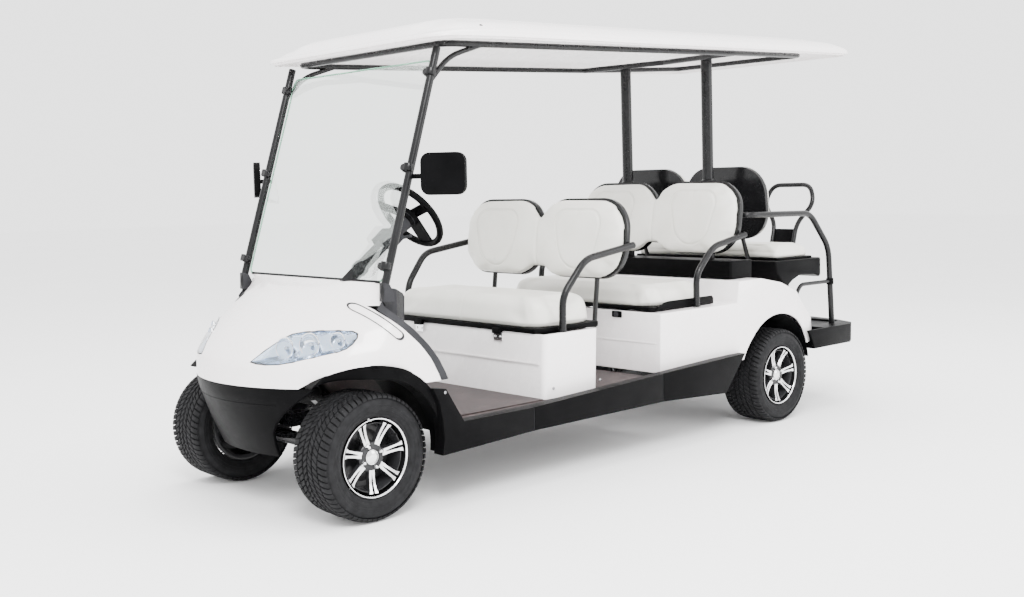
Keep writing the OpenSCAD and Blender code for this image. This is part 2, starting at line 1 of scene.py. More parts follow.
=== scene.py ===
import bpy, bmesh, math, json
from math import sin, cos, pi, radians
from mathutils import Vector, Matrix
from mathutils.bvhtree import BVHTree
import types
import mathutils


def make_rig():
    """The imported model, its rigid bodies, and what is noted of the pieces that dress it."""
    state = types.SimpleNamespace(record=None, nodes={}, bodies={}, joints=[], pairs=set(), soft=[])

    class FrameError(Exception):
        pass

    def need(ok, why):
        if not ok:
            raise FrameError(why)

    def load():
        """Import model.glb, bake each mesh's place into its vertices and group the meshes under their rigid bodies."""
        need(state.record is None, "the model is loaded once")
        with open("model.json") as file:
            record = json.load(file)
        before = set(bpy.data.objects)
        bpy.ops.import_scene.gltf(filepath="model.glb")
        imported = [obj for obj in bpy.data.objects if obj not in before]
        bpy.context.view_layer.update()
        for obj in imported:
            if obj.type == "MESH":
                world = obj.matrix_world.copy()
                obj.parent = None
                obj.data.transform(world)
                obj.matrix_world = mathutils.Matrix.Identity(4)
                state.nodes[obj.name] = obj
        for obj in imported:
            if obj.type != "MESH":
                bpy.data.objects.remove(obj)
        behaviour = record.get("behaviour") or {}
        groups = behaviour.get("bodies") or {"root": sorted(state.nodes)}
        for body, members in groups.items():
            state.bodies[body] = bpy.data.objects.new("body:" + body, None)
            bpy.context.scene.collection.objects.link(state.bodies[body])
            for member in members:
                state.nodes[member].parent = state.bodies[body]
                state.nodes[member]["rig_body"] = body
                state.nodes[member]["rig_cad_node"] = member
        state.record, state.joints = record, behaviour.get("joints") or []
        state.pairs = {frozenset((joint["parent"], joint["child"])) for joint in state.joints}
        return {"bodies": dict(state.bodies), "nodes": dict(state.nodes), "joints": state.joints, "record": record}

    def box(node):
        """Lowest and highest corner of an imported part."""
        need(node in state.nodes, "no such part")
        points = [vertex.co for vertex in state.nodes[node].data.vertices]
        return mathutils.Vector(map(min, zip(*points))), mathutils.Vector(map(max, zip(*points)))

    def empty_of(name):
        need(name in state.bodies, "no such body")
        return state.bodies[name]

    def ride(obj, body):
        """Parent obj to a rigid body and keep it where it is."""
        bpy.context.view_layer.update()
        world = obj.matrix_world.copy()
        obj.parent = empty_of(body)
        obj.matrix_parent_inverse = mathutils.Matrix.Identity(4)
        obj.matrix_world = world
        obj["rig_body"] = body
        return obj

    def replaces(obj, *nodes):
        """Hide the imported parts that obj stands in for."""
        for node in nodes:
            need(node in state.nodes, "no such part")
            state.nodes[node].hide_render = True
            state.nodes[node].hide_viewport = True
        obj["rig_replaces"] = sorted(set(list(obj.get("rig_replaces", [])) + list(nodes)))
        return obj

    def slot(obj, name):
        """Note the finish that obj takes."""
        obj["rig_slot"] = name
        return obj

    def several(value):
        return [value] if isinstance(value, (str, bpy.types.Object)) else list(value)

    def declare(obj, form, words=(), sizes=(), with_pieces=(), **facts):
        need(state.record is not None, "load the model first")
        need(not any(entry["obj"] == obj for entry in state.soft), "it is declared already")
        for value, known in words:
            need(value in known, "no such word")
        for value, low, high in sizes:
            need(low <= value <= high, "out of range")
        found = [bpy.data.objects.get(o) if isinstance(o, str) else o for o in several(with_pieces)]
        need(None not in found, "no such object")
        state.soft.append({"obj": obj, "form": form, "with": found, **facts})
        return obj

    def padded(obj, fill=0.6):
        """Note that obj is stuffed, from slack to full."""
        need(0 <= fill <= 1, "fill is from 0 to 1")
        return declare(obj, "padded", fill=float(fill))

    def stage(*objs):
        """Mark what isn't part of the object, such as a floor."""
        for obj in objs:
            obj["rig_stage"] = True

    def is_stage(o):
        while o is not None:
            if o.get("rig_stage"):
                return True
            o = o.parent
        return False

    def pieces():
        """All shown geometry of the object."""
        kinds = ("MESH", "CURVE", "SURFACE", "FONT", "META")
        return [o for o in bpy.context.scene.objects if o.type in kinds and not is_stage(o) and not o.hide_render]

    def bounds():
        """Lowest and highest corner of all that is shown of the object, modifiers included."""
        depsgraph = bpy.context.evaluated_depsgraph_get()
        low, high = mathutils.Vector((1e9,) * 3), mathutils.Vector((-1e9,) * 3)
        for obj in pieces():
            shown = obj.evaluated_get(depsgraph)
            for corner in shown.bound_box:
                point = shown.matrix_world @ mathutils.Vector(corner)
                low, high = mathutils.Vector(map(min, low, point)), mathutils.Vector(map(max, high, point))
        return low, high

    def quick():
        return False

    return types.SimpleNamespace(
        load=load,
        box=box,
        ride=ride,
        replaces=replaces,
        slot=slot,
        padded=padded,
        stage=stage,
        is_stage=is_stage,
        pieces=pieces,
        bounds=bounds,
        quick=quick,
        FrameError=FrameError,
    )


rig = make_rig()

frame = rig.load()
CAD_BOX = [list(v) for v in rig.bounds()]
NODES = frame["nodes"]
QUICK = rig.quick()
lo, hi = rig.box("front_left_tyre")
YM = -(lo.y + hi.y) / 2          # front axle station in the part's frame
scene = bpy.context.scene


def S(x, y, z):
    "millimetres from the front axle to metres in the part's frame"
    return Vector((x / 1000, y / 1000 - YM, z / 1000))


# ------------------------------------------------------------------ materials
def nodes_of(name):
    m = bpy.data.materials.new(name)
    m.use_nodes = True
    nt = m.node_tree
    b = nt.nodes["Principled BSDF"]
    return m, nt, b


def setv(b, **k):
    for n, v in k.items():
        b.inputs[n.replace("_", " ")].default_value = v


def coords(nt, scale=(1, 1, 1)):
    t = nt.nodes.new("ShaderNodeTexCoord")
    mp = nt.nodes.new("ShaderNodeMapping")
    mp.inputs["Scale"].default_value = scale
    nt.links.new(t.outputs["Object"], mp.inputs["Vector"])
    return mp.outputs["Vector"]


def noise(nt, vec, scale, detail=4, rough=0.55):
    n = nt.nodes.new("ShaderNodeTexNoise")
    n.inputs["Scale"].default_value = scale
    n.inputs["Detail"].default_value = detail
    n.inputs["Roughness"].default_value = rough
    nt.links.new(vec, n.inputs["Vector"])
    return n.outputs["Fac"]


def voronoi(nt, vec, scale, feature="F1"):
    n = nt.nodes.new("ShaderNodeTexVoronoi")
    n.feature = feature
    n.inputs["Scale"].default_value = scale
    nt.links.new(vec, n.inputs["Vector"])
    return n.outputs["Distance"]


def ramp(nt, fac, stops):
    r = nt.nodes.new("ShaderNodeValToRGB")
    e = r.color_ramp.elements
    while len(e) < len(stops):
        e.new(0.5)
    for i, (p, c) in enumerate(stops):
        e[i].position = p
        e[i].color = c if len(c) == 4 else (*c, 1)
    nt.links.new(fac, r.inputs["Fac"])
    return r.outputs["Color"]


def rough_range(nt, b, fac, a, c):
    m = nt.nodes.new("ShaderNodeMapRange")
    m.inputs["To Min"].default_value = a
    m.inputs["To Max"].default_value = c
    nt.links.new(fac, m.inputs["Value"])
    nt.links.new(m.outputs["Result"], b.inputs["Roughness"])


def bump(nt, b, fac, strength, dist, prev=None):
    n = nt.nodes.new("ShaderNodeBump")
    n.inputs["Strength"].default_value = strength
    n.inputs["Distance"].default_value = dist
    nt.links.new(fac, n.inputs["Height"])
    if prev is not None:
        nt.links.new(prev, n.inputs["Normal"])
    nt.links.new(n.outputs["Normal"], b.inputs["Normal"])
    return n.outputs["Normal"]


def mat_white():
    m, nt, b = nodes_of("white_body")
    v = coords(nt)
    f = noise(nt, v, 2.2, 2)
    c = ramp(nt, f, [(0.3, (0.90, 0.855, 0.855)), (0.7, (0.93, 0.90, 0.90))])
    nt.links.new(c, b.inputs["Base Color"])
    rough_range(nt, b, noise(nt, v, 14, 3), 0.22, 0.32)
    bump(nt, b, noise(nt, v, 160, 2), 0.03, 0.0006)
    setv(b, Coat_Weight=0.6, Coat_Roughness=0.06, Specular_IOR_Level=0.5)
    return m


def mat_plastic(name, c0, c1, r0, r1, grain=900, amount=0.25, spec=0.06):
    m, nt, b = nodes_of(name)
    v = coords(nt)
    c = ramp(nt, noise(nt, v, 9, 4), [(0.3, c0), (0.7, c1)])
    nt.links.new(c, b.inputs["Base Color"])
    rough_range(nt, b, noise(nt, v, 26, 4), r0, r1)
    bump(nt, b, voronoi(nt, v, grain), amount, 0.0006)
    setv(b, Specular_IOR_Level=spec)
    return m


def mat_paint(name, c, rough=0.22):
    m, nt, b = nodes_of(name)
    v = coords(nt)
    nt.links.new(ramp(nt, noise(nt, v, 18, 3), [(0.35, c), (0.65, tuple(min(1, x * 1.35 + 0.002) for x in c))]), b.inputs["Base Color"])
    rough_range(nt, b, noise(nt, v, 60, 4), rough, rough + 0.13)
    bump(nt, b, noise(nt, v, 420, 2), 0.05, 0.0004)
    setv(b, Coat_Weight=0.06, Coat_Roughness=0.1, Specular_IOR_Level=0.2)
    return m


def mat_vinyl(name="seat_vinyl", a=(0.70, 0.69, 0.635), c=(0.77, 0.76, 0.71)):
    m, nt, b = nodes_of(name)
    v = coords(nt)
    nt.links.new(ramp(nt, noise(nt, v, 6, 5), [(0.3, a), (0.7, c)]), b.inputs["Base Color"])
    rough_range(nt, b, noise(nt, v, 40, 4), 0.36, 0.50)
    n1 = bump(nt, b, noise(nt, v, 38, 4), 0.12, 0.004)
    bump(nt, b, voronoi(nt, v, 620, "DISTANCE_TO_EDGE"), 0.35, 0.0007, n1)
    setv(b, Specular_IOR_Level=0.4, Sheen_Weight=0.08, Sheen_Roughness=0.4)
    return m


def mat_rubber(name="tyre"):
    m, nt, b = nodes_of(name)
    v = coords(nt)
    nt.links.new(ramp(nt, noise(nt, v, 30, 6), [(0.3, (0.006, 0.006, 0.0065)), (0.75, (0.014, 0.014, 0.015))]), b.inputs["Base Color"])
    rough_range(nt, b, noise(nt, v, 90, 4), 0.55, 0.75)
    bump(nt, b, noise(nt, v, 600, 3), 0.25, 0.0008)
    setv(b, Specular_IOR_Level=0.10)
    return m


def mat_metal(name, c, r0, r1, scale=(1, 1, 1), freq=60):
    m, nt, b = nodes_of(name)
    v = coords(nt, scale)
    nt.links.new(ramp(nt, noise(nt, v, freq, 4), [(0.3, tuple(x * 0.9 for x in c)), (0.7, c)]), b.inputs["Base Color"])
    rough_range(nt, b, noise(nt, v, freq * 2, 4), r0, r1)
    bump(nt, b, noise(nt, v, freq * 6, 2), 0.04, 0.0003)
    setv(b, Metallic=1.0)
    return m


def mat_glass(name, c, rough=0.0, alpha=1.0):
    m, nt, b = nodes_of(name)
    v = coords(nt)
    nt.links.new(ramp(nt, noise(nt, v, 3, 2), [(0.3, c), (0.7, tuple(min(1, x * 1.02) for x in c))]), b.inputs["Base Color"])
    setv(b, Transmission_Weight=1.0, Roughness=rough, IOR=1.12 if alpha < 1 else 1.3)
    if alpha < 1:
        setv(b, Alpha=alpha)
    return m


def mat_mat(name="floor_mat"):
    m, nt, b = nodes_of(name)
    v = coords(nt)
    n = noise(nt, v, 26, 8, 0.7)
    nt.links.new(ramp(nt, n, [(0.35, (0.010, 0.006, 0.006)), (0.55, (0.030, 0.018, 0.018)), (0.72, (0.085, 0.06, 0.06))]), b.inputs["Base Color"])
    rough_range(nt, b, n, 0.45, 0.7)
    bump(nt, b, voronoi(nt, v, 240), 0.4, 0.001)
    return m


WHITE = mat_white()
BLACK = mat_plastic("black_plastic", (0.0012, 0.0012, 0.0014), (0.0026, 0.0026, 0.0029), 0.36, 0.5, spec=0.035)
DARK = mat_plastic("dark_trim", (0.022, 0.022, 0.024), (0.034, 0.034, 0.037), 0.45, 0.6, 1100, 0.35)
SHELL = mat_plastic("shell_black", (0.005, 0.005, 0.0055), (0.009, 0.009, 0.0095), 0.14, 0.22, 500, 0.05, 0.28)
FRAME = mat_paint("black_frame", (0.003, 0.003, 0.0035))
VINYL = mat_vinyl()
PIPING = mat_vinyl("seat_piping", (0.42, 0.41, 0.37), (0.5, 0.49, 0.45))
RUBBER = mat_rubber()
CHROME = mat_metal("chrome_trim", (0.86, 0.86, 0.87), 0.06, 0.14)
ALU = mat_metal("rim_machined", (0.84, 0.84, 0.85), 0.10, 0.2, (1, 1, 1), 90)
RIMBLACK = mat_paint("rim_black", (0.012, 0.012, 0.013), 0.18)
STEEL = mat_metal("steel", (0.32, 0.32, 0.33), 0.32, 0.5)
GLASS = mat_glass("clear_glass", (0.80, 0.92, 0.86), 0.0, 0.30)
EDGE = mat_glass("glass_edge", (0.25, 0.5, 0.36), 0.05)
LENS = mat_glass("lamp_lens", (0.93, 0.96, 1.0), 0.02)
LAMP = mat_metal("lamp_reflector", (0.62, 0.70, 0.82), 0.12, 0.25, (1, 1, 1), 45)
MAT = mat_mat()
BATTERY = mat_plastic("battery_case", (0.02, 0.02, 0.024), (0.04, 0.04, 0.045), 0.5, 0.65)
BY_SLOT = dict(white_body=WHITE, black_plastic=BLACK, dark_trim=DARK, black_frame=FRAME, floor_mat=MAT, battery_case=BATTERY,
               seat_vinyl=VINYL, lamp_lens=LENS, clear_glass=GLASS, steel=STEEL, tyre=RUBBER, rim=ALU)
SLOT = {s["node"]: s["material_slot"] for s in frame["record"]["subparts"]} if "subparts" in frame["record"] and frame["record"]["subparts"] and "node" in frame["record"]["subparts"][0] else {}
for n, o in NODES.items():
    m = BY_SLOT.get(SLOT.get(n), BLACK)
    o.data.materials.clear()
    o.data.materials.append(m)


# ------------------------------------------------------------------ mesh helpers
def put(name, verts, faces, mat, body="root", cad=(), slot=None, smooth=True, angle=38):
    me = bpy.data.meshes.new(name)
    me.from_pydata([tuple(v) for v in verts], [], faces)
    me.validate()
    ob = bpy.data.objects.new(name, me)
    scene.collection.objects.link(ob)
    return dress(ob, mat, body, cad, slot, smooth, angle)


def dress(ob, mat, body="root", cad=(), slot=None, smooth=True, angle=38):
    me = ob.data
    if mat is not None:
        me.materials.clear()
        me.materials.append(mat)
    bm = bmesh.new(); bm.from_mesh(me)
    bmesh.ops.recalc_face_normals(bm, faces=bm.faces)
    bm.to_mesh(me); bm.free()
    if smooth:
        me.shade_smooth()
        me.set_sharp_from_angle(angle=radians(angle))
    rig.ride(ob, body)
    if cad:
        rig.replaces(ob, *cad)
    if slot:
        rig.slot(ob, slot)
    return ob


def settle(ob):
    "applies all modifiers"
    bpy.context.view_layer.update()
    dg = bpy.context.evaluated_depsgraph_get()
    me = bpy.data.meshes.new_from_object(ob.evaluated_get(dg))
    old = ob.data
    ob.modifiers.clear()
    ob.data = me
    bpy.data.meshes.remove(old)
    return ob


def raw(name, verts, faces):
    me = bpy.data.meshes.new(name)
    me.from_pydata([tuple(v) for v in verts], [], faces)
    ob = bpy.data.objects.new(name, me)
    scene.collection.objects.link(ob)
    bm = bmesh.new(); bm.from_mesh(me)
    bmesh.ops.recalc_face_normals(bm, faces=bm.faces)
    bm.to_mesh(me); bm.free()
    return ob


def prism(pts, axis, a, b, name="prism"):
    "polygon in the plane across an axis, run from a to b (mm)"
    n = len(pts)
    def P(p, t):
        return S(t, p[0], p[1]) if axis == "x" else S(p[0], t, p[1]) if axis == "y" else S(p[0], p[1], t)
    v = [P(p, a) for p in pts] + [P(p, b) for p in pts]
    f = [list(range(n)), list(range(n, 2 * n))] + [[i, (i + 1) % n, n + (i + 1) % n, n + i] for i in range(n)]
    return raw(name, v, f)


def cut(ob, *cutters, op="DIFFERENCE"):
    for c in cutters:
        m = ob.modifiers.new("b", "BOOLEAN")
        m.object = c; m.operation = op; m.solver = "EXACT"
        settle(ob)
        bpy.data.objects.remove(c)
    return ob


def bevel(ob, w, seg=3, ang=30):
    m = ob.modifiers.new("bevel", "BEVEL")
    m.width = w / 1000; m.segments = seg; m.limit_method = "ANGLE"; m.angle_limit = radians(ang)
    m.harden_normals = False; m.use_clamp_overlap = True
    return settle(ob)


def bevel_copy(node, w, mat=None, seg=3, ang=30, diss=1.5):
    src = NODES[node]
    ob = bpy.data.objects.new(node + "_finish", src.data.copy())
    scene.collection.objects.link(ob)
    me = ob.data
    bm = bmesh.new(); bm.from_mesh(me)
    bmesh.ops.remove_doubles(bm, verts=bm.verts, dist=2e-5)
    bmesh.ops.dissolve_limit(bm, angle_limit=radians(diss), verts=bm.verts, edges=bm.edges)
    bm.to_mesh(me); bm.free()
    for a in list(me.attributes):
        if a.name in ("custom_normal", "sharp_edge", "sharp_face"):
            me.attributes.remove(a)
    bevel(ob, w, seg, ang)
    body = src["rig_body"]
    return dress(ob, mat or BY_SLOT[SLOT[node]], body, (node,), SLOT.get(node))


def tube(name, pts, r, mat=FRAME, body="root", cad=(), slot=None, res=8, bend=None, close=False):
    "bent round tube through points (metres), corners rounded"
    P = [Vector(p) for p in pts]
    out = []
    n = len(P)
    for i, p in enumerate(P):
        if not close and i in (0, n - 1):
            out.append(p); continue
        a, c = P[i - 1], P[(i + 1) % n]
        d1, d2 = (a - p), (c - p)
        k = min(bend if bend else r * 3, d1.length * 0.45, d2.length * 0.45)
        q1, q2 = p + d1.normalized() * k, p + d2.normalized() * k
        for j in range(7):
            t = j / 6
            out.append(q1 * (1 - t) ** 2 + p * 2 * t * (1 - t) + q2 * t * t)
    m = len(out)
    ring = 16 if r > 0.006 else 8
    V, F = [], []
    up = None
    for i, p in enumerate(out):
        a = out[(i - 1) % m] if (close or i > 0) else p
        c = out[(i + 1) % m] if (close or i < m - 1) else p
        t = (c - a).normalized()
        if up is None:
            up = t.orthogonal().normalized()
        up = (up - t * up.dot(t)).normalized()
        s = t.cross(up)
        for k in range(ring):
            g = 2 * pi * k / ring
            V.append(p + (up * cos(g) + s * sin(g)) * r)
    for i in range(m if close else m - 1):
        for k in range(ring):
            F.append([i * ring + k, i * ring + (k + 1) % ring, ((i + 1) % m) * ring + (k + 1) % ring, ((i + 1) % m) * ring + k])
    if not close:
        F.append(list(range(ring))); F.append([(m - 1) * ring + k for k in range(ring)])
    return put(name, V, F, mat, body, cad, slot)


def join(name, obs, mat, body="root", cad=(), slot=None, angle=38):
    V, F = [], []
    for o in obs:
        k = len(V)
        mw = o.matrix_world
        V += [mw @ v.co for v in o.data.vertices]
        F += [[k + i for i in p.vertices] for p in o.data.polygons]
        bpy.data.objects.remove(o)
    return put(name, V, F, mat, body, cad, slot, True, angle)


def revolve(prof, axis_pt, ax, seg=64, name="rev"):
    "profile of (radius, along) in mm about an axis through a point (metres)"
    ax = Vector(ax).normalized()
    u = ax.orthogonal().normalized(); w = ax.cross(u)
    V, F = [], []
    n = len(prof)
    for i in range(seg):
        g = 2 * pi * i / seg
        for r, t in prof:
            V.append(Vector(axis_pt) + ax * t / 1000 + (u * cos(g) + w * sin(g)) * r / 1000)
    for i in range(seg):
        j = (i + 1) % seg
        for k in range(n - 1):
            F.append([i * n + k, i * n + k + 1, j * n + k + 1, j * n + k])
    if prof[0][0] < 1e-6 or prof[-1][0] < 1e-6 or True:
        pass
    ob = raw(name, V, F)
    bm = bmesh.new(); bm.from_mesh(ob.data)
    bmesh.ops.remove_doubles(bm, verts=bm.verts, dist=1e-6)
    bmesh.ops.recalc_face_normals(bm, faces=bm.faces)
    bm.to_mesh(ob.data); bm.free()
    return ob


def bolt(p, ax, r=8, h=5, dome=True):
    prof = [(0, 0), (r, 0), (r, h * 0.45), (r * 0.86, h * 0.8), (r * 0.5, h), (0, h)]
    return revolve(prof, p, ax, 16)


# ------------------------------------------------------------------ camera, floor, light
cam_d = bpy.data.cameras.new("camera")
cam = bpy.data.objects.new("camera", cam_d)
scene.collection.objects.link(cam)
cam_d.sensor_width = 36; cam_d.lens = 40.44; cam_d.clip_end = 200
a, e, ro = radians(46.2), radians(5.26), radians(-0.96)
back = Vector((sin(a) * cos(e), -cos(a) * cos(e), sin(e)))
right = (-back).cross(Vector((0, 0, 1))).normalized()
upv = right.cross(-back)
r2 = right * cos(ro) + upv * sin(ro)
u2 = upv * cos(ro) - right * sin(ro)
M = Matrix((r2, u2, back)).transposed().to_4x4()
M.translation = Vector((3.731, -2.399 - YM, 1.151))
cam.matrix_world = M
scene.camera = cam

floor = raw("floor", [(-40, -40, 0), (40, -40, 0), (40, 40, 0), (-40, 40, 0)], [[0, 1, 2, 3]])
fm, nt, b = nodes_of("floor_pale")
nt.links.new(ramp(nt, noise(nt, coords(nt), 0.6, 2), [(0.3, (0.95, 0.95, 0.95)), (0.7, (0.97, 0.97, 0.97))]), b.inputs["Base Color"])
setv(b, Roughness=0.85, Specular_IOR_Level=0.1)
floor.data.materials.append(fm)
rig.stage(floor)
w = bpy.data.worlds.new("world"); scene.world = w; w.use_nodes = True
w.node_tree.nodes["Background"].inputs[0].default_value = (1, 1, 1, 1)
w.node_tree.nodes["Background"].inputs[1].default_value = 2.7


def area(name, loc, target, size, power, sy=None, col=(1, 1, 1)):
    d = bpy.data.lights.new(name, "AREA")
    d.energy = power; d.size = size; d.color = col
    if sy:
        d.shape = "RECTANGLE"; d.size_y = sy
    o = bpy.data.objects.new(name, d)
    scene.collection.objects.link(o)
    o.location = loc
    o.rotation_euler = (Vector(target) - Vector(loc)).to_track_quat("-Z", "Y").to_euler()


area("key", (4.5, -4.0, 5.5), (0, 0, 0.6), 2.6, 700)
area("fill", (5.5, 3.0, 3.0), (0, 0, 0.7), 4.0, 260)
area("top", (0, 0, 6.5), (0, 0, 0), 5.0, 420)

# ------------------------------------------------------------------ front cowl
LEV = [[480, -310, 585, 200], [550, -308, 585, 200], [600, -275, 580, 200], [660, -215, 565, 220],
       [700, -161, 550, 220], [740, -96, 530, 220], [780, -35, 502, 205], [815, 28, 474, 165], [836, 75, 455, 126]]
VAL = [[215, -212, 550, 200], [300, -252, 560, 200], [400, -290, 572, 200], [440, -304, 580, 200], [479.5, -310, 585, 200]]


def interp(tab, z):
    "smooth row of the table at height z"
    if z <= tab[0][0]:
        return tab[0][1:]
    if z >= tab[-1][0]:
        return tab[-1][1:]
    i = max(k for k in range(len(tab) - 1) if tab[k][0] <= z)
    a, c = tab[i], tab[i + 1]
    h = c[0] - a[0]; t = (z - a[0]) / h
    out = []
    for k in (1, 2, 3):
        def slope(j):
            if j <= 0 or j >= len(tab) - 1:
                jj = 0 if j <= 0 else len(tab) - 2
                return (tab[jj + 1][k] - tab[jj][k]) / (tab[jj + 1][0] - tab[jj][0])
            s1 = (tab[j][k] - tab[j - 1][k]) / (tab[j][0] - tab[j - 1][0])
            s2 = (tab[j + 1][k] - tab[j][k]) / (tab[j + 1][0] - tab[j][0])
            return 0 if s1 * s2 <= 0 else 2 * s1 * s2 / (s1 + s2)
        m0, m1 = slope(i), slope(i + 1)
        out.append((2 * t ** 3 - 3 * t * t + 1) * a[k] + (t ** 3 - 2 * t * t + t) * h * m0 + (-2 * t ** 3 + 3 * t * t) * c[k] + (t ** 3 - t * t) * h * m1)
    return out


def form(tab, zs, off, rear, name, N=56):
    rings = []
    for z in zs:
        yf, wd, ys = interp(tab, z)
        yf += off * 1.15; wd -= off; zz = z - (off if tab is LEV else 0)
        r = [(wd * sin(radians(t)), ys - (ys - yf) * max(0.0, cos(radians(t))) ** 1.11, zz) for t in [-90 + 180 * i / N for i in range(N + 1)]]
        yr = rear(z)
        r += [(wd, max(ys + 5, yr), zz), (wd * 0.33, max(ys + 5, yr), zz), (-wd * 0.33, max(ys + 5, yr), zz), (-wd, max(ys + 5, yr), zz)]
        rings.append(r)
    n = len(rings[0]); V = [S(*p) for r in rings for p in r]; F = []
    for i in range(len(rings) - 1):
        for k in range(n):
            F.append([i * n + k, i * n + (k + 1) % n, (i + 1) * n + (k + 1) % n, (i + 1) * n + k])
    F.append(list(range(n)))
    # top cap: one face over the last ring
    top = [(len(rings) - 1) * n + k for k in range(n)]
    F.append(top)
    return raw(name, V, F)


def hood_y(x, z, off=0.0):
    "outer surface station of the hood at half width x and height z"
    yf, wd, ys = interp(LEV, z)
    yf -= off; wd += off
    sx = max(-0.9999, min(0.9999, x / wd))
    return ys - (ys - yf) * (1 - sx * sx) ** 0.555


def rear_line(z):
    return 470 if z < 740 else 470 - 330 * min(1, (z - 740) / 80)


def door_prism(d, x0=-700, x1=700):
    return prism([[60 + d, 900], [50 + d, 800], [56 + d, 755], [127 + d, 675], [174 + d, 616], [215 + d, 561], [246 + d, 507], [266 + d, 461], [276 + d, 440], [800, 400], [800, 900]], "x", x0, x1)


def xcyl(x0, x1, y, z, r, seg=96):
    return prism([(y + r * cos(2 * pi * i / seg), z + r * sin(2 * pi * i / seg)) for i in range(seg)], "x", x0, x1)


LAMP_POLY = [(172, 569), (200, 565), (240, 563), (285, 566), (330, 575), (385, 591), (440, 608), (456, 618), (463, 632), (463, 652), (457, 666), (440, 674), (400, 677), (350, 676), (300, 671), (262, 663), (235, 643), (205, 608)]


def grow(poly, d):
    n = len(poly); out = []
    cx = sum(p[0] for p in poly) / n; cz = sum(p[1] for p in poly) / n
    area2 = sum(poly[i][0] * poly[(i + 1) % n][1] - poly[(i + 1) % n][0] * poly[i][1] for i in range(n))
    sgn = 1 if area2 > 0 else -1
    for i in range(n):
        a, p, c = Vector(poly[i - 1]), Vector(poly[i]), Vector(poly[(i + 1) % n])
        t = ((p - a).normalized() + (c - p).normalized()).normalized()
        nrm = Vector((t.y, -t.x)) * sgn
        out.append((p.x + nrm.x * d, p.y + nrm.y * d))
    return out


zs = [480.5, 484, 490, 500, 515, 530, 545, 560, 575, 590, 605, 620, 635, 650, 665, 680, 695, 710, 725, 740, 752, 764, 776, 788, 798, 806, 813, 818, 822, 825.5, 828.5, 831, 833, 834.6, 835.6, 836]
cowl = form(LEV, zs, 0, rear_line, "cowl")
inner = form(LEV, [470] + zs[1:], 9, rear_line, "cowl_in")
cut(cowl, inner, door_prism(0, 455.5, 700), door_prism(0, -700, -455.5))
cut(cowl, prism([[56, 757], [127, 675], [174, 616], [215, 561], [246, 507], [266, 461], [276, 440], [800, 400], [800, 757]], "x", -456, 456), prism([(-456, 756), (456, 756), (456, 900), (-456, 900)], "y", 127, 600))
cut(cowl, xcyl(330, 700, -5, 275, 282), xcyl(-700, -330, -5, 275, 282))
for s in (1, -1):
    cut(cowl, prism([(s * p[0], p[1]) for p in grow(LAMP_POLY, 1.5)], "y", -420, 40))
bm = bmesh.new(); bm.from_mesh(cowl.data)
bmesh.ops.remove_doubles(bm, verts=bm.verts, dist=3e-5)
bm.to_mesh(cowl.data); bm.free()
cowl.name = "front_cowl_shell"
bevel(cowl, 1.6, 2, 50)
dress(cowl, WHITE, "root", ("front_cowl",), "white_body", True, 40)

# valance with a pressed line
vz = [215, 225, 240, 260, 280, 300, 325, 350, 375, 400, 412, 414, 418, 420, 430, 440, 455, 468, 476, 479.5]
val = form(VAL, vz, 0, lambda z: 300, "front_valance_skin")
vin = form(VAL, [200] + vz[1:-1] + [490], 9, lambda z: 300, "val_in")
cut(val, vin, prism([(-700, 100), (700, 100), (700, 500), (-700, 500)], "y", -150, 500))
cut(val, prism([(-190, 200), (190, 200), (198, 260), (212, 310), (240, 350), (280, 388), (330, 428), (372, 460), (395, 480), (-395, 480), (-372, 460), (-330, 428), (-280, 388), (-240, 350), (-212, 310), (-198, 260)], "y", -400, 0), op="INTERSECT")
bevel(val, 3, 3, 40)
dress(val, BLACK, "root", ("front_valance",), "black_plastic", True, 40)
# raised band along the top of the valance
obs = []
for (za, zb, off, xm) in ((470, 477, 1.2, 372), (414, 417, 0.9, 262)):
    V, F = [], []
    n = 60
    for i in range(n + 1):
        x = -xm + 2 * xm * i / n
        for zz, oo in ((za - 1, -4), (za, off), (zb, off), (zb + 1, -4)):
            yf, wd, ys = interp(VAL, zz)
            y = ys - (ys - yf) * max(0, 1 - (x / wd) ** 2) ** 0.555
            nx, ny = x / wd * 0.8, -1
            V.append(S(x, y - oo, zz))
    for i in range(n):
        for k in range(3):
            F.append([i * 4 + k, i * 4 + k + 1, i * 4 + 4 + k + 1, i * 4 + 4 + k])
    F += [[0, 1, 2, 3], [n * 4 + k for k in range(4)]]
    obs.append(raw("vb", V, F))
join("front_valance_lines", obs, BLACK, slot="black_plastic")

# black arch lip between the fender and the tyre
for s, nm in ((1, "left"), (-1, "right")):
    n = 64; V, F = [], []
    for i in range(n + 1):
        g = radians(-6 + 137 * i / n)
        o = (-5 + 283.5 * cos(g), 275 + 283.5 * sin(g))
        k = min(1, 2.2 * sin(max(0, min(1, i / n)) * pi) ** 0.7)
        q = (0 + 270 * cos(g), 238 + 270 * sin(g))
        f = max(0, (i / n - 0.72) / 0.28) ** 1.5
        q = (q[0] + (o[0] - q[0]) * f * 0.94, q[1] + (o[1] - q[1]) * f * 0.94)
        r_ = max(0, min(1, (i / n - 0.56) / 0.36)); xo = 577 - 4 * (1 - k) - 150 * r_ * r_ * (3 - 2 * r_)
        xi = min(500, xo - 40)
        for (p, x) in ((o, xi), (o, xo), ((o[0] * 0.35 + q[0] * 0.65, o[1] * 0.35 + q[1] * 0.65), xo - 1.5), (q, xo - 9), (q, xi)):
            V.append(S(s * x, p[0], p[1]))
    for i in range(n):
        for k in range(5):
            F.append([i * 5 + k, i * 5 + (k + 1) % 5, (i + 1) * 5 + (k + 1) % 5, (i + 1) * 5 + k])
    F += [list(range(5)), [n * 5 + k for k in range(5)]]
    put("front_arch_lip_" + nm, V, F, BLACK, "root", (), "black_plastic", True, 40)

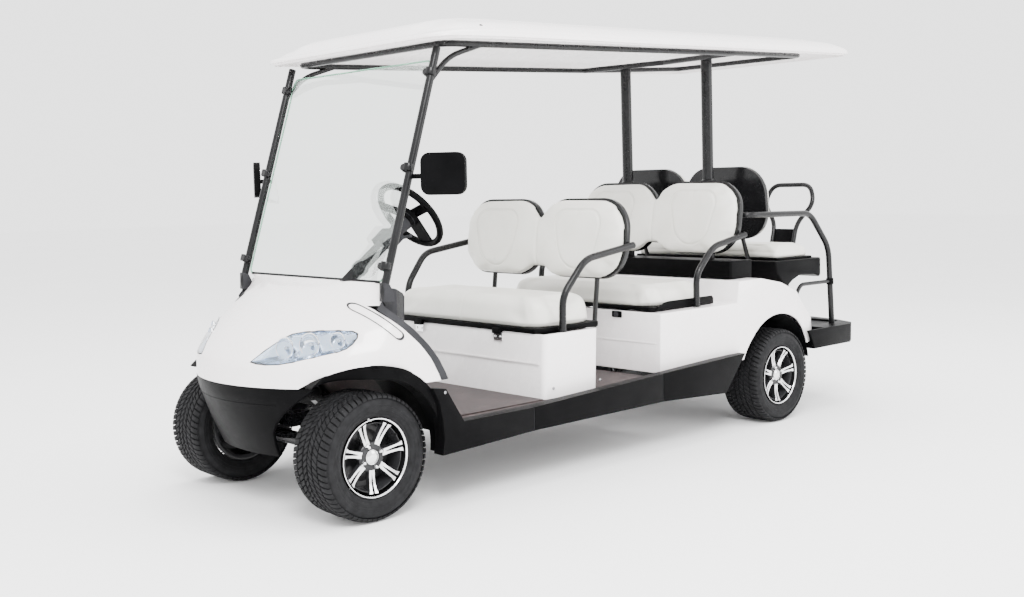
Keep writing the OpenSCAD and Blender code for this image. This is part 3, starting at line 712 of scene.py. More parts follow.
# headlights: housing, bowls, bulbs, lens
for s, side_name in ((1, "left"), (-1, "right")):
    def H(x, z, off):
        return S(s * x, hood_y(x, z) - off, z)
    def sheet(poly, off_in, off_mid, n=14):
        c = (sum(p[0] for p in poly) / len(poly), sum(p[1] for p in poly) / len(poly))
        fine = []
        for i in range(len(poly)):
            p, q = poly[i], poly[(i + 1) % len(poly)]
            for j in range(3):
                fine.append((p[0] + (q[0] - p[0]) * j / 3, p[1] + (q[1] - p[1]) * j / 3))
        V, F = [], []
        m = len(fine)
        for k in range(n):
            t = 1 - k / n
            for p in fine:
                x, z = c[0] + (p[0] - c[0]) * t, c[1] + (p[1] - c[1]) * t
                V.append(H(x, z, off_in + (off_mid - off_in) * (1 - t ** 4)))
        V.append(H(c[0], c[1], off_mid))
        for k in range(n - 1):
            for i in range(m):
                F.append([k * m + i, k * m + (i + 1) % m, (k + 1) * m + (i + 1) % m, (k + 1) * m + i])
        for i in range(m):
            F.append([(n - 1) * m + i, (n - 1) * m + (i + 1) % m, len(V) - 1])
        return V, F, m
    V, F, m = sheet(LAMP_POLY, -0.6, 0.6)
    ob = raw("l", V, F)
    md = ob.modifiers.new("s", "SOLIDIFY"); md.thickness = 0.0022; md.offset = 0
    settle(ob); ob.name = "headlight_lens_" + side_name
    dress(ob, LENS, "root", (), "lamp_lens")
    V, F, m = sheet(grow(LAMP_POLY, 0.8), -4, -42)
    ob = raw("h", V, F)
    md = ob.modifiers.new("s", "SOLIDIFY"); md.thickness = 0.0015
    settle(ob)
    parts = [ob]
    join("headlight_housing_" + side_name, parts, LAMP, slot="lamp_lens", cad=("headlights",) if s == 1 else ())
    # dark gasket
    rim_o, rim_i = grow(LAMP_POLY, 2.6), grow(LAMP_POLY, -0.6)
    V, F = [], []
    for p, q in zip(rim_o, rim_i):
        V += [H(p[0], p[1], -3), H(p[0], p[1], 0.25), H(q[0], q[1], 0.5), H(q[0], q[1], -5)]
    m = len(rim_o)
    for i in range(m):
        j = (i + 1) % m
        for k in range(3):
            F.append([i * 4 + k, i * 4 + k + 1, j * 4 + k + 1, j * 4 + k])
    put("headlight_gasket_" + side_name, V, F, DARK, slot="dark_trim")
    # bowls looking forward and outward
    bowls, bulbs = [], []
    for (x, z, r) in ((262, 617, 36), (338, 630, 39), (412, 643, 27)):
        y = hood_y(x, z)
        c = S(s * x, y + 14, z)
        ax = Vector((s * 0.35 * x / 300, -1, 0.12)).normalized()
        bowls.append(revolve([(r, 0), (r * 0.985, -3), (r * 0.86, -13), (r * 0.62, -22), (r * 0.3, -28), (5, -29), (5, -26), (0, -26)], c, ax, 40))
        bowls.append(revolve([(r, 0), (r + 3, 0.5), (r + 3.5, -3), (r, -5)], c, ax, 40))
        bulbs.append(revolve([(5, -27), (6, -14), (7.5, -6), (5, -2), (0, -1)], c, ax, 20))
    join("headlight_bowls_" + side_name, bowls, CHROME, slot="lamp_lens", angle=50)
    join("headlight_bulbs_" + side_name, bulbs, mat_plastic("bulb_cap", (0.5, 0.55, 0.62), (0.62, 0.66, 0.72), 0.15, 0.25, 300, 0.03) if s == 1 else bpy.data.materials["bulb_cap"], slot="lamp_lens")

# ------------------------------------------------------------------ roof
def roof_z(y):
    return 1690 + 0.0441 * y


def roof_skin(ho, hy, yc, off, zs_):
    rings = [(1.0, 12), (1.002, 18), (1.0, 26), (0.994, 33), (0.982, 39), (0.96, 47), (0.93, 57), (0.89, 68), (0.84, 79), (0.78, 89), (0.70, 98), (0.60, 106), (0.48, 112.5), (0.34, 117), (0.18, 119.5), (0.06, 120)]
    return rings


def superel(t, A, B, n):
    c, s_ = cos(t), sin(t)
    return A * math.copysign(abs(c) ** (2 / n), c), B * math.copysign(abs(s_) ** (2 / n), s_)


def rrect(f, A, B, r):
    "point on a rounded rectangle, f from 0 to 1 round it"
    segs = [(A, -(B - r), A, B - r), None, (A - r, B, -(A - r), B), None, (-A, B - r, -A, -(B - r)), None, (-(A - r), -B, A - r, -B), None]
    cs = [(A - r, B - r, 0), (-(A - r), B - r, 90), (-(A - r), -(B - r), 180), (A - r, -(B - r), 270)]
    u = f * 4
    k = int(u) % 4; w_ = u - int(u)
    # each quarter: 60 % straight side, 40 % corner
    if w_ < 0.6:
        a0 = segs[2 * k]; t = w_ / 0.6
        return a0[0] + (a0[2] - a0[0]) * t, a0[1] + (a0[3] - a0[1]) * t
    c = cs[k]; g = radians(c[2] + 90 * (w_ - 0.6) / 0.4)
    return c[0] + r * cos(g), c[1] + r * sin(g)


ROOF_RINGS = [(1.0, 12.3), (1.0, 19), (0.9975, 27), (0.991, 33.5), (0.979, 40), (0.957, 48), (0.93, 57), (0.895, 67), (0.85, 76), (0.79, 84), (0.71, 90), (0.62, 95), (0.5, 99.5), (0.36, 103), (0.2, 105), (0.06, 105.5)]
RA, RB, RC = 595, 1417, 1700


def roof_surface(off, name):
    N = 128; V, F = [], []
    for s_, h in ROOF_RINGS:
        for i in range(N):
            t = 2 * pi * i / N
            A = (RA - off) * (1 - (1 - s_) * 1.0)
            B = (RB - off) - RA * (1 - s_) * 0.95
            x, y = rrect(i / N, A, B, 105 - 40 * (1 - s_))
            yy = RC + y
            hh = h
            # raised centre panel with a shallow step, lower visor lip in front
            if s_ < 0.9:
                hh += 12 * (1 - min(1, max(0, (abs(x) - 395) / 26)))
            if y < -RB + 420:
                k = ((-RB + 420) - y) / 420
                hh -= 26 * k * k * (1 if s_ < 0.97 else (h / 60))
            V.append(S(x, yy, roof_z(yy) + hh - off))
    for k in range(len(ROOF_RINGS) - 1):
        for i in range(N):
            F.append([k * N + i, k * N + (i + 1) % N, (k + 1) * N + (i + 1) % N, (k + 1) * N + i])
    F.append([(len(ROOF_RINGS) - 1) * N + i for i in range(N)])
    return V, F


V1, F1 = roof_surface(0, "o"); V2, F2 = roof_surface(14, "i")
N = 128; k0 = len(V1)
V2 = [v if i >= N else Vector((v.x, v.y, V1[i].z)) for i, v in enumerate(V2)]
F = F1 + [[k0 + i for i in reversed(f)] for f in F2] + [[i, k0 + i, k0 + (i + 1) % N, (i + 1) % N] for i in range(N)]
roof = put("roof_panel", V1 + V2, F, WHITE, "root", ("roof",), "white_body", True, 50)
rb = []
for y in (520, 1180, 1950, 2860):
    for s in (1, -1):
        hit = S(s * 545, y, roof_z(y) + 52)
        rb.append(bolt(hit, (s * 0.6, 0, 0.8), 7, 6))
join("roof_bolts", rb, DARK, slot="dark_trim")

# ------------------------------------------------------------------ hard panels from the frame, edges rounded
for n, wd in (("front_seat_pod", 9), ("rear_body", 8), ("rear_bulkhead", 7), ("side_sills", 5), ("rear_foot_platform", 5), ("rear_seat_tray", 9),
              ("front_seat_base", 4), ("middle_seat_base", 4), ("rear_seat_board", 3), ("dash_and_door_trims", 3), ("pedals", 2.5), ("floor_pan", 1.5), ("arch_liners", 1.2)):
    try:
        bevel_copy(n, wd)
    except Exception as ex:
        print("bevel failed", n, ex)


# ------------------------------------------------------------------ tubes: bent, not mitred
for s, nm in ((1, "left"), (-1, "right")):
    arm = 502
    for i, (c0, c1, c2, c3, c4, c5, c6, c7) in enumerate([[982, 583, 983, 727, 1104, 872, 1411, 917], [1880, 615, 1876, 759, 1984, 885, 2240, 932]]):
        tube("armrest_%s_%d" % (nm, i), [S(s * arm, c0, c1), S(s * arm, c2, c3), S(s * (arm + 16), c4, c5), S(s * (arm + 16), c6, c7)], 0.015, bend=0.05, cad=("seat_armrests",) if (s == 1 and i == 0) else (), slot="black_frame")
        dress(bevelled := revolve([(0, 0), (17.5, 0), (17.5, 3), (16, 9), (15.2, 12), (0, 12)], S(s * arm, c0, c1 - 2), (0, 0, 1), 32), FRAME, slot="black_frame"); bevelled.name = "armrest_foot_%s_%d" % (nm, i)
        tube("armrest_stub_%s_%d" % (nm, i), [S(s * (arm + 16), c6 - 14, c7 - 2), S(s * 450, c6 - 14, c7 - 2)], 0.010, slot="black_frame")
    tube("rear_rail_" + nm, [S(s * 300, 2300, 1024), S(s * arm, 2300, 1024), S(s * arm, 2838, 1020), S(s * arm, 3022, 836), S(s * arm, 3062, 431)], 0.015, bend=0.06, cad=("rear_grab_rails",) if s == 1 else (), slot="black_frame")
    tube("rear_brace_" + nm, [S(s * arm, 2700, 590), S(s * arm, 2757, 655), S(s * arm, 3040, 655)], 0.010, bend=0.03, slot="black_frame")
    c = revolve([(15, -17), (19, -15), (19.5, 0), (19, 15), (15, 17)], S(s * arm, 3040, 655), Vector((0, 40, -405)), 32)
    c.name = "rear_rail_collar_" + nm; dress(c, BLACK, slot="black_frame")
    tube("front_strut_" + nm, [S(s * 477, 106, 762), S(s * 474, 90, 800), S(s * 473, 366, 1684)], 0.015, bend=0.03, cad=("roof_posts",) if s == 1 else (), slot="black_frame")
    p0, p1 = S(s * 260, 2306, 722), S(s * 260, 2281, 1790)
    tube("rear_post_" + nm, [p0, p1], 0.0278, slot="black_frame")
    d = (p1 - p0).normalized()
    c = revolve([(27.5, 455), (31.5, 458), (31.5, 476), (27.5, 480)], p0, d, 40); c.name = "rear_post_ring_" + nm; dress(c, FRAME, slot="black_frame")
    kn = []
    for (y, z) in ((97, 896), (211, 1245), (325, 1591)):
        ax = Vector((0, -cos(radians(17.3)), sin(radians(17.3)) * 0 + 0.3)).normalized()
        kn.append(revolve([(0, -14), (15, -14), (16, -12), (16, 4), (13, 8), (13, 13), (11.5, 16), (0, 16.5)], S(s * 462, y + 4, z), ax, 28))
        kn.append(revolve([(18.5, -13), (19.5, -10), (19.5, 10), (18.5, 13), (15, 13), (15, -13)], S(s * 474, y + 8, z + 3), Vector((0, 276, 884)), 28))
    join("windshield_clamps_" + nm, kn, FRAME, slot="black_frame")
    def rzf(y): return 1690 + 0.0441 * y
    tube("roof_brace_" + nm, [S(s * 473, 330, 1560), S(s * 473, 420, 1655), S(s * 476, 600, rzf(600) - 2)], 0.010, bend=0.09, slot="black_frame")
    tube("roof_rail_" + nm, [S(0, 398, rzf(398) - 6), S(s * 452, 398, rzf(398) - 6), S(s * 478, 440, rzf(440) - 6), S(s * 478, 2200, rzf(2200) + 4), S(s * 398, 2906, rzf(2906) + 18), S(0, 2906, rzf(2906) + 18)], 0.0125, bend=0.05, cad=("roof_frame",) if s == 1 else (), slot="black_frame")
    tube("roof_cross_" + nm, [S(0, 2280, rzf(2280) + 6), S(s * 478, 2200, rzf(2200) + 4)], 0.0135, slot="black_frame")


def hy(z):
    return 3250 + (z - 431) * 0.28


tube("rear_handle", [S(x, hy(z), z) for x, z in [[-72, 431], [-72, 945], [-165, 1062], [-125, 1168], [125, 1168], [165, 1062], [72, 945], [72, 431]]], 0.013, bend=0.055, slot="black_frame")
hp = prism([(-62, 800), (62, 800), (62, 915), (-62, 915)], "y", -3, 3)
for v in hp.data.vertices:
    v.co.y += hy(v.co.z * 1000) / 1000
bevel(hp, 2, 2); hp.name = "rear_handle_plate"; dress(hp, BLACK, slot="black_plastic")
hf = []
for s in (1, -1):
    hf.append(revolve([(0, 0), (24, 0), (24, 3), (15, 5), (13, 8), (0, 8)], S(s * 72, hy(431), 424), (0, 0, 1), 32))
    hf.append(revolve([(0, 0), (25, 0), (25, 3), (17, 5), (15, 8), (0, 8)], S(s * 502, 3062, 421), (0, 0, 1), 32))
join("rail_feet", hf, FRAME, slot="black_frame")

# ------------------------------------------------------------------ wheels
def tyre_r(x):
    "outer tread radius across the section"
    a = abs(x)
    return 229.8 - 0.00022 * a ** 2 - (0 if a < 74 else 0.0125 * (a - 74) ** 2)


def block_mesh(V, F, c, th0, th1, xa, xb, skew, nx=3, depth=8.5, zig=0.0):
    top = []
    k0 = len(V)
    xm = (xa + xb) / 2; tm = (th0 + th1) / 2
    def P(i, j, sc, dr):
        fi, fj = i / 2, j / nx
        x = xa + (xb - xa) * fj + (zig if i == 1 else 0)
        th = th0 + (th1 - th0) * fi
        x = xm + (x - xm) * (1 + sc / (abs(xb - xa) / 2)); th = tm + (th - tm) * (1 + sc / ((th1 - th0) / 2 * 225))
        th += skew * (x - xm)
        r = tyre_r(x) - dr
        return Vector((c.x + x / 1000, c.y + r * cos(th) / 1000, c.z + r * sin(th) / 1000))
    n = nx + 1
    for i in range(3):
        for j in range(n):
            V.append(P(i, j, -1.2, 0))
    for i in range(2):
        for j in range(nx):
            F.append([k0 + i * n + j, k0 + (i + 1) * n + j, k0 + (i + 1) * n + j + 1, k0 + i * n + j + 1])
    edge = [(0, j) for j in range(n)] + [(1, n - 1)] + [(2, j) for j in range(n - 1, -1, -1)] + [(1, 0)]
    e0 = [k0 + i * n + j for i, j in edge]
    rings = [e0]
    for sc, dr in ((0.0, 1.1), (0.7, depth)):
        k = len(V)
        for i, j in edge:
            V.append(P(i, j, sc, dr))
        rings.append([k + q for q in range(len(edge))])
    m = len(edge)
    for a_, b_ in ((0, 1), (1, 2)):
        for q in range(m):
            F.append([rings[a_][q], rings[a_][(q + 1) % m], rings[b_][(q + 1) % m], rings[b_][q]])


def make_tyre(node, body):
    lo_, hi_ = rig.box(node)
    c = (lo_ + hi_) / 2
    half = [(143.5, -80), (147, -84.5), (151, -87.5), (155, -88.2), (156.5, -90.5), (162, -93.5), (172, -98), (183, -101), (189, -101.8), (190.5, -102.3), (193, -102.3), (194.5, -101.6), (202, -100.4), (209, -96.5), (214, -91), (217.5, -84), (220, -72), (221, -50), (221.4, -25), (221.6, 0)]
    prof = half + [(r, -x) for r, x in half[-2::-1]] + [(146, 70), (146, -70), (143.5, -80)]
    car = revolve(prof, c, (1, 0, 0), 128)
    V, F = [], []
    nb = 62
    rows = [(3.0, 21.5, 0.0, 0.0042, 2.0), (-21.5, -3.0, 0.5, -0.0042, -2.0), (29.5, 55, 0.25, 0.0030, 2.4), (-55, -29.5, 0.75, -0.0030, -2.4)]
    for xa, xb, ph, sk, zg in rows:
        for i in range(nb):
            a0 = 2 * pi * (i + ph) / nb; a1 = a0 + 2 * pi / nb * 0.80
            block_mesh(V, F, c, a0, a1, xa, xb, sk, 3, 8.3, zg)
    for s in (1, -1):
        for i in range(nb):
            a0 = 2 * pi * (i + (0.1 if s > 0 else 0.6)) / nb; a1 = a0 + 2 * pi / nb * 0.78
            xa, xb = (62, 97.5) if s > 0 else (-97.5, -62)
            block_mesh(V, F, c, a0, a1, xa, xb, 0.0012 * s, 6, 7.5, 0)
    blocks = raw("tb", V, F)
    body_ = [car, blocks]
    # raised lines on the sidewall
    for s in (1, -1):
        for r0 in (171.5, 184.5):
            xw = 98.0 if r0 < 180 else 101.3
            body_.append(revolve([(r0 - 1.2, s * (xw - 1.2)), (r0 - 0.5, s * (xw + 0.55)), (r0 + 0.5, s * (xw + 0.55)), (r0 + 1.2, s * (xw - 1.2))], c, (1, 0, 0), 96))
    return join(node + "_tread", body_, RUBBER, body, (node,), "tyre", 32)


def make_rim(node, body, sgn):
    lo_, hi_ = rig.box(node)
    tl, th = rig.box(node.replace("rim", "tyre"))
    c = (tl + th) / 2
    ax = Vector((sgn, 0, 0))
    # dark barrel and dish
    bar_ = revolve([(141.5, -90), (141.5, -86), (136, -84), (128, -78), (124, -60), (121, 20), (119, 52), (122, 66), (124, 74), (121, 74), (117, 62), (113, 40), (112, 8), (60, 2), (14, 2), (14, -34), (40, -36), (44, -6), (108, -6), (116, -60), (122, -84), (134, -90.3), (141.5, -90)], c, ax, 96)
    # back drum and disc seen between the spokes
    drum = revolve([(105, 3), (98, 6), (60, 7), (58, 3)], c, ax, 64)
    join(node + "_barrel", [bar_, drum], RIMBLACK, body, (), "rim", 40)
    lip = revolve([(141.8, 84.5), (142, 88), (141, 90.3), (138.6, 90.4), (136.2, 88.6), (135.4, 86.5), (137, 85.5), (141.8, 84.5)], c, ax, 112)
    # spokes: seven, each split in two prongs by a slot
    def pt(r, w, x, ang):
        u = Vector((0, cos(ang), sin(ang))); t = Vector((0, -sin(ang), cos(ang)))
        return Vector(c) + ax * x / 1000 + (u * r + t * w) / 1000
    def xf(r):
        t = (r - 44) / 84
        return 67 + 14 * max(0, t) ** 1.4 - 3.5 * sin(pi * max(0, min(1, t)))
    dark_parts, bright = [], []
    stations = [44, 52, 60, 70, 80, 92, 104, 114, 122, 127.5]
    for q in range(7):
        ang = 2 * pi * q / 7 + 0.18
        for e in (1, -1):
            V, F = [], []; Vb, Fb = [], []
            for r in stations:
                t = (r - 44) / 84
                mid = e * (5.0 + 5.5 * t + 1.6 * max(0, t - 0.85) / 0.15)      # prongs join at the hub
                hw = 6.4 + 0.4 * t - 1.6 * max(0, min(1, (t - 0.22) / 0.15)) + 3.2 * max(0, t - 0.85) / 0.15
                x = xf(r)
                for (w_, xx) in ((-hw - 2.2, x - 17), (-hw - 0.4, x - 1.4), (-hw + 0.7, x - 0.4), (hw - 0.7, x - 0.4), (hw + 0.4, x - 1.4), (hw + 2.2, x - 17)):
                    V.append(pt(r, mid + w_, xx, ang))
                for (w_, xx) in ((-hw + 0.3, x - 0.9), (-hw + 0.9, x + 0.1), (hw - 0.9, x + 0.1), (hw - 0.3, x - 0.9)):
                    Vb.append(pt(r, mid + w_, xx, ang))
            n = len(stations)
            for i in range(n - 1):
                for k in range(6):
                    F.append([i * 6 + k, i * 6 + (k + 1) % 6, (i + 1) * 6 + (k + 1) % 6, (i + 1) * 6 + k])
                for k in range(4):
                    Fb.append([i * 4 + k, i * 4 + (k + 1) % 4, (i + 1) * 4 + (k + 1) % 4, (i + 1) * 4 + k])
            F += [list(range(6)), [(n - 1) * 6 + k for k in range(6)]]
            Fb += [list(range(4)), [(n - 1) * 4 + k for k in range(4)]]
            dark_parts.append(raw("sp", V, F)); bright.append(raw("sb", Vb, Fb))
    dark_parts.append(revolve([(0, 40), (52, 40), (55, 50), (54, 62), (50, 66), (46, 67.2), (30, 66.5), (28, 62), (0, 61)], c, ax, 84))
    join(node + "_spokes", dark_parts, RIMBLACK, body, (), "rim", 30)
    bright.append(lip)
    join(node + "_machined_faces", bright, ALU, body, (node,), "rim", 35)
    # lug nuts on 4 points, seats, and the centre cap
    nuts, seats = [], []
    for q in range(4):
        g = 2 * pi * q / 4 + 0.4
        p = pt(40.5, 0, 61, g)
        hexn = [(0, 14.5), (4.6, 14.2), (7.2, 11.5), (8, 9), (8, -2), (9.8, -3.6), (9.8, -5.5), (0, -5.5)]
        nuts.append(revolve(hexn, p, ax, 6))
        nuts.append(revolve([(0, 16.8), (3.6, 16.0), (5.6, 13.4), (5.9, 12), (0, 12)], p, ax, 20))
        seats.append(revolve([(13.2, 6.9), (12.4, 7.0), (11, 2.5), (10.4, -4), (13.2, -4)], p, ax, 24))
    cap = revolve([(0, 74.5), (12, 74.0), (19, 72.4), (23.5, 69.6), (25.2, 66), (25.2, 60), (0, 60)], c, ax, 48)
    join(node + "_lug_nuts", nuts, CHROME, body, (), "rim", 25)
    join(node + "_lug_seats", seats, RIMBLACK, body, (), "rim", 30)
    ring = revolve([(26.6, 66.5), (27.2, 68), (25.4, 69.2), (24.2, 68.6), (24.4, 66.5)], c, ax, 48)
    join(node + "_centre_cap", [cap], ALU, body, (), "rim", 30)
    join(node + "_cap_ring", [ring], ALU, body, (), "rim", 30)
    vs = revolve([(0, 88), (2.6, 87.6), (2.8, 80), (3.4, 78), (3.4, 66), (0, 66)], pt(118.5, 0, 0, 0.18 + pi / 7), ax, 12)
    join(node + "_valve", [vs], RUBBER, body, (), "tyre", 30)


for nm, s in (("front_left", 1), ("front_right", -1), ("rear_left", 1), ("rear_right", -1)):
    b_ = NODES[nm + "_tyre"]["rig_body"]
    make_tyre(nm + "_tyre", b_)
    make_rim(nm + "_rim", b_, s)


# ------------------------------------------------------------------ padded seats
def loose(node):
    src = NODES[node]
    bm = bmesh.new(); bm.from_mesh(src.data)
    bmesh.ops.remove_doubles(bm, verts=bm.verts, dist=2e-5)
    seen, out = set(), []
    for v in bm.verts:
        if v in seen:
            continue
        st, comp = [v], []
        seen.add(v)
        while st:
            x = st.pop(); comp.append(x)
            for e in x.link_edges:
                o = e.other_vert(x)
                if o not in seen:
                    seen.add(o); st.append(o)
        idx = {q: i for i, q in enumerate(comp)}
        fs = [[idx[q] for q in f.verts] for f in bm.faces if f.verts[0] in idx]
        out.append(([q.co.copy() for q in comp], fs))
    bm.free()
    return out


def rounded_box(lo_, hi_, r, name):
    "box with corner radii in plan and soft edges"
    bm = bmesh.new()
    bmesh.ops.create_cube(bm, size=1.0)
    for v in bm.verts:
        v.co = Vector([(lo_[k] + hi_[k]) / 2 + v.co[k] * (hi_[k] - lo_[k]) for k in range(3)])
    ve = [e for e in bm.edges if abs(e.verts[0].co.z - e.verts[1].co.z) > 1e-4]
    bmesh.ops.bevel(bm, geom=ve, offset=r[0], segments=6, affect="EDGES", profile=0.5)
    te = [e for e in bm.edges if abs(e.verts[0].co.z - hi_[2]) < 1e-5 and abs(e.verts[1].co.z - hi_[2]) < 1e-5]
    bmesh.ops.bevel(bm, geom=te, offset=r[1], segments=5, affect="EDGES", profile=0.5)
    me = bpy.data.meshes.new(name); bm.to_mesh(me); bm.free()
    ob = bpy.data.objects.new(name, me); scene.collection.objects.link(ob)
    return ob


def swell(ob, voxel, pressure, cap, pin=None, frames=20):
    "remesh, inflate as cloth, cap the travel, subdivide once"
    m = ob.modifiers.new("r", "REMESH"); m.mode = "VOXEL"; m.voxel_size = voxel
    settle(ob)
    me = ob.data
    rest = [v.co.copy() for v in me.vertices]
    if not QUICK:
        if pin is not None:
            vg = ob.vertex_groups.new(name="pin")
            vg.add([v.index for v in me.vertices if pin(v.co)], 1.0, "REPLACE")
        cm = ob.modifiers.new("c", "CLOTH")
        st = cm.settings
        st.quality = 4; st.mass = 0.3
        st.use_pressure = True; st.uniform_pressure_force = pressure
        st.tension_stiffness = 22; st.compression_stiffness = 22; st.shear_stiffness = 8; st.bending_stiffness = 0.6
        st.effector_weights.gravity = 0
        if pin is not None:
            st.vertex_group_mass = "pin"
        cm.point_cache.frame_start = 1; cm.point_cache.frame_end = frames
        for f in range(1, frames + 1):
            scene.frame_set(f)
        dg = bpy.context.evaluated_depsgraph_get()
        ev = ob.evaluated_get(dg).to_mesh()
        pos = [v.co.copy() for v in ev.vertices]
        ob.evaluated_get(dg).to_mesh_clear()
        ob.modifiers.clear()
        scene.frame_set(1)
        for v, p in zip(me.vertices, pos):
            d = p - rest[v.index]
            L = d.length
            if L > 1e-9:
                v.co = rest[v.index] + d * (cap * math.tanh(L / cap) / L)
    if not QUICK:
        sm = ob.modifiers.new("k", "SMOOTH"); sm.factor = 0.5; sm.iterations = 10
        settle(ob)
    m = ob.modifiers.new("s", "SUBSURF"); m.levels = 1; m.render_levels = 1
    settle(ob)
    return ob


def normals(me):
    return [v.normal.copy() for v in me.vertices]


def seg_dist(p, a, b_):
    d = b_ - a
    t = max(0.0, min(1.0, (p - a).dot(d) / d.dot(d)))
    return (p - (a + d * t)).length


def clampbox(ob, lo_, hi_, e=0.0):
    for v in ob.data.vertices:
        for k in range(3):
            v.co[k] = min(hi_[k] + e, max(lo_[k] - e, v.co[k]))


def cushion(node, name, body, rr, dish, seams=True, vox=0.010):
    lo_, hi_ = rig.box(node)
    g = 0.011
    ob = rounded_box((lo_.x + g, lo_.y + g, lo_.z + 0.001), (hi_.x - g, hi_.y - g, hi_.z - g * 1.0), rr, name)
    zb = lo_.z
    swell(ob, vox, 4.0, 0.022, pin=lambda p: p.z < zb + 0.006)
    cx, cy = (lo_.x + hi_.x) / 2, (lo_.y + hi_.y) / 2
    hx, hyy = (hi_.x - lo_.x) / 2, (hi_.y - lo_.y) / 2
    me = ob.data
    nr = normals(me)
    H = hi_.z - lo_.z
    for i, v in enumerate(me.vertices):
        p, n = v.co, nr[i]
        d = 0.0
        up = max(0.0, n.z)
        u = (p.x - cx) / hx; w_ = (p.y - cy) / hyy
        if dish:
            for sx in (-0.5, 0.5):
                d -= up * dish * math.exp(-((u - sx) / 0.27) ** 2 - (w_ / 0.55) ** 2)
            d += up * dish * 0.35 * math.exp(-(u / 0.10) ** 2)
        if not seams:
            d -= 0.0030 * math.exp(-(p.x / 0.006) ** 2) * max(0.0, 1 - abs(n.x)) * (1 if n.z > -0.2 else 0)
            if abs(n.z) < 0.8:
                d -= 0.0022 * math.exp(-((p.z - (zb + 0.010)) / 0.004) ** 2)
        if seams:
            # top panel seam follows the plan outline
            ax_, ay_ = hx - 0.052, hyy - 0.050
            dx, dy = abs(p.x - cx) - ax_, abs(p.y - cy) - ay_
            rc = 0.06
            qx, qy = max(dx + rc, 0), max(dy + rc, 0)
            sd = (qx * qx + qy * qy) ** 0.5 + min(max(dx + rc, dy + rc), 0) - rc
            if n.z > 0.2:
                d -= 0.0032 * math.exp(-(sd / 0.0048) ** 2)
            # side welt
            if abs(n.z) < 0.8:
                d -= 0.0026 * math.exp(-((p.z - (zb + H * 0.42)) / 0.005) ** 2)
        v.co = p + n * d
    clampbox(ob, lo_, hi_)
    for v in me.vertices:
        if v.co.z < zb + 0.004:
            v.co.z = zb
    dress(ob, VINYL, body, (node,), "seat_vinyl", True, 80)
    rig.padded(ob, fill=0.8)
    return ob


cushion("front_seat_cushion", "front_seat_pad", NODES["front_seat_cushion"]["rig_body"], (0.080, 0.036), 0.013, False)
cushion("middle_seat_cushion", "middle_seat_pad", NODES["middle_seat_cushion"]["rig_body"], (0.078, 0.032), 0.011, False)
cushion("rear_seat_cushion", "rear_seat_pad", NODES["rear_seat_cushion"]["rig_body"], (0.040, 0.014), 0.003)


def welt(ob, z, inset, name, body, mat=PIPING, r=0.0030):
    "piping that follows the pad's side at height z"
    bv = BVHTree.FromPolygons([v.co for v in ob.data.vertices], [p.vertices for p in ob.data.polygons])
    lo_ = Vector([min(v.co[k] for v in ob.data.vertices) for k in range(3)]); hi_ = Vector([max(v.co[k] for v in ob.data.vertices) for k in range(3)])
    c = (lo_ + hi_) / 2; c.z = z
    pts = []
    n = 96
    for i in range(n):
        g = 2 * pi * i / n
        q = Vector(superel(g, (hi_.x - lo_.x) * 0.75, (hi_.y - lo_.y) * 0.75, 6.0)).to_3d()
        o = c + q
        hit = bv.ray_cast(o, (c + Vector((q.x * 0.72, q.y * 0.30, 0)) - o).normalized())
        if hit[0] is not None:
            pts.append(hit[0] - hit[1] * inset)
    if len(pts) > 20:
        return tube(name, pts, r, mat, body, (), "seat_vinyl", bend=0.002, close=True)


def panel_seam(x, z, w0, w1, z0, z1, rc):
    "signed distance to a rounded tapering panel outline"
    t = max(0, min(1, (z - z0) / (z1 - z0)))
    hw = w0 + (w1 - w0) * t
    dx, dz = abs(x) - hw, abs(z - (z0 + z1) / 2) - (z1 - z0) / 2
    qx, qz = max(dx + rc, 0), max(dz + rc, 0)
    return (qx * qx + qz * qz) ** 0.5 + min(max(dx + rc, dz + rc), 0) - rc


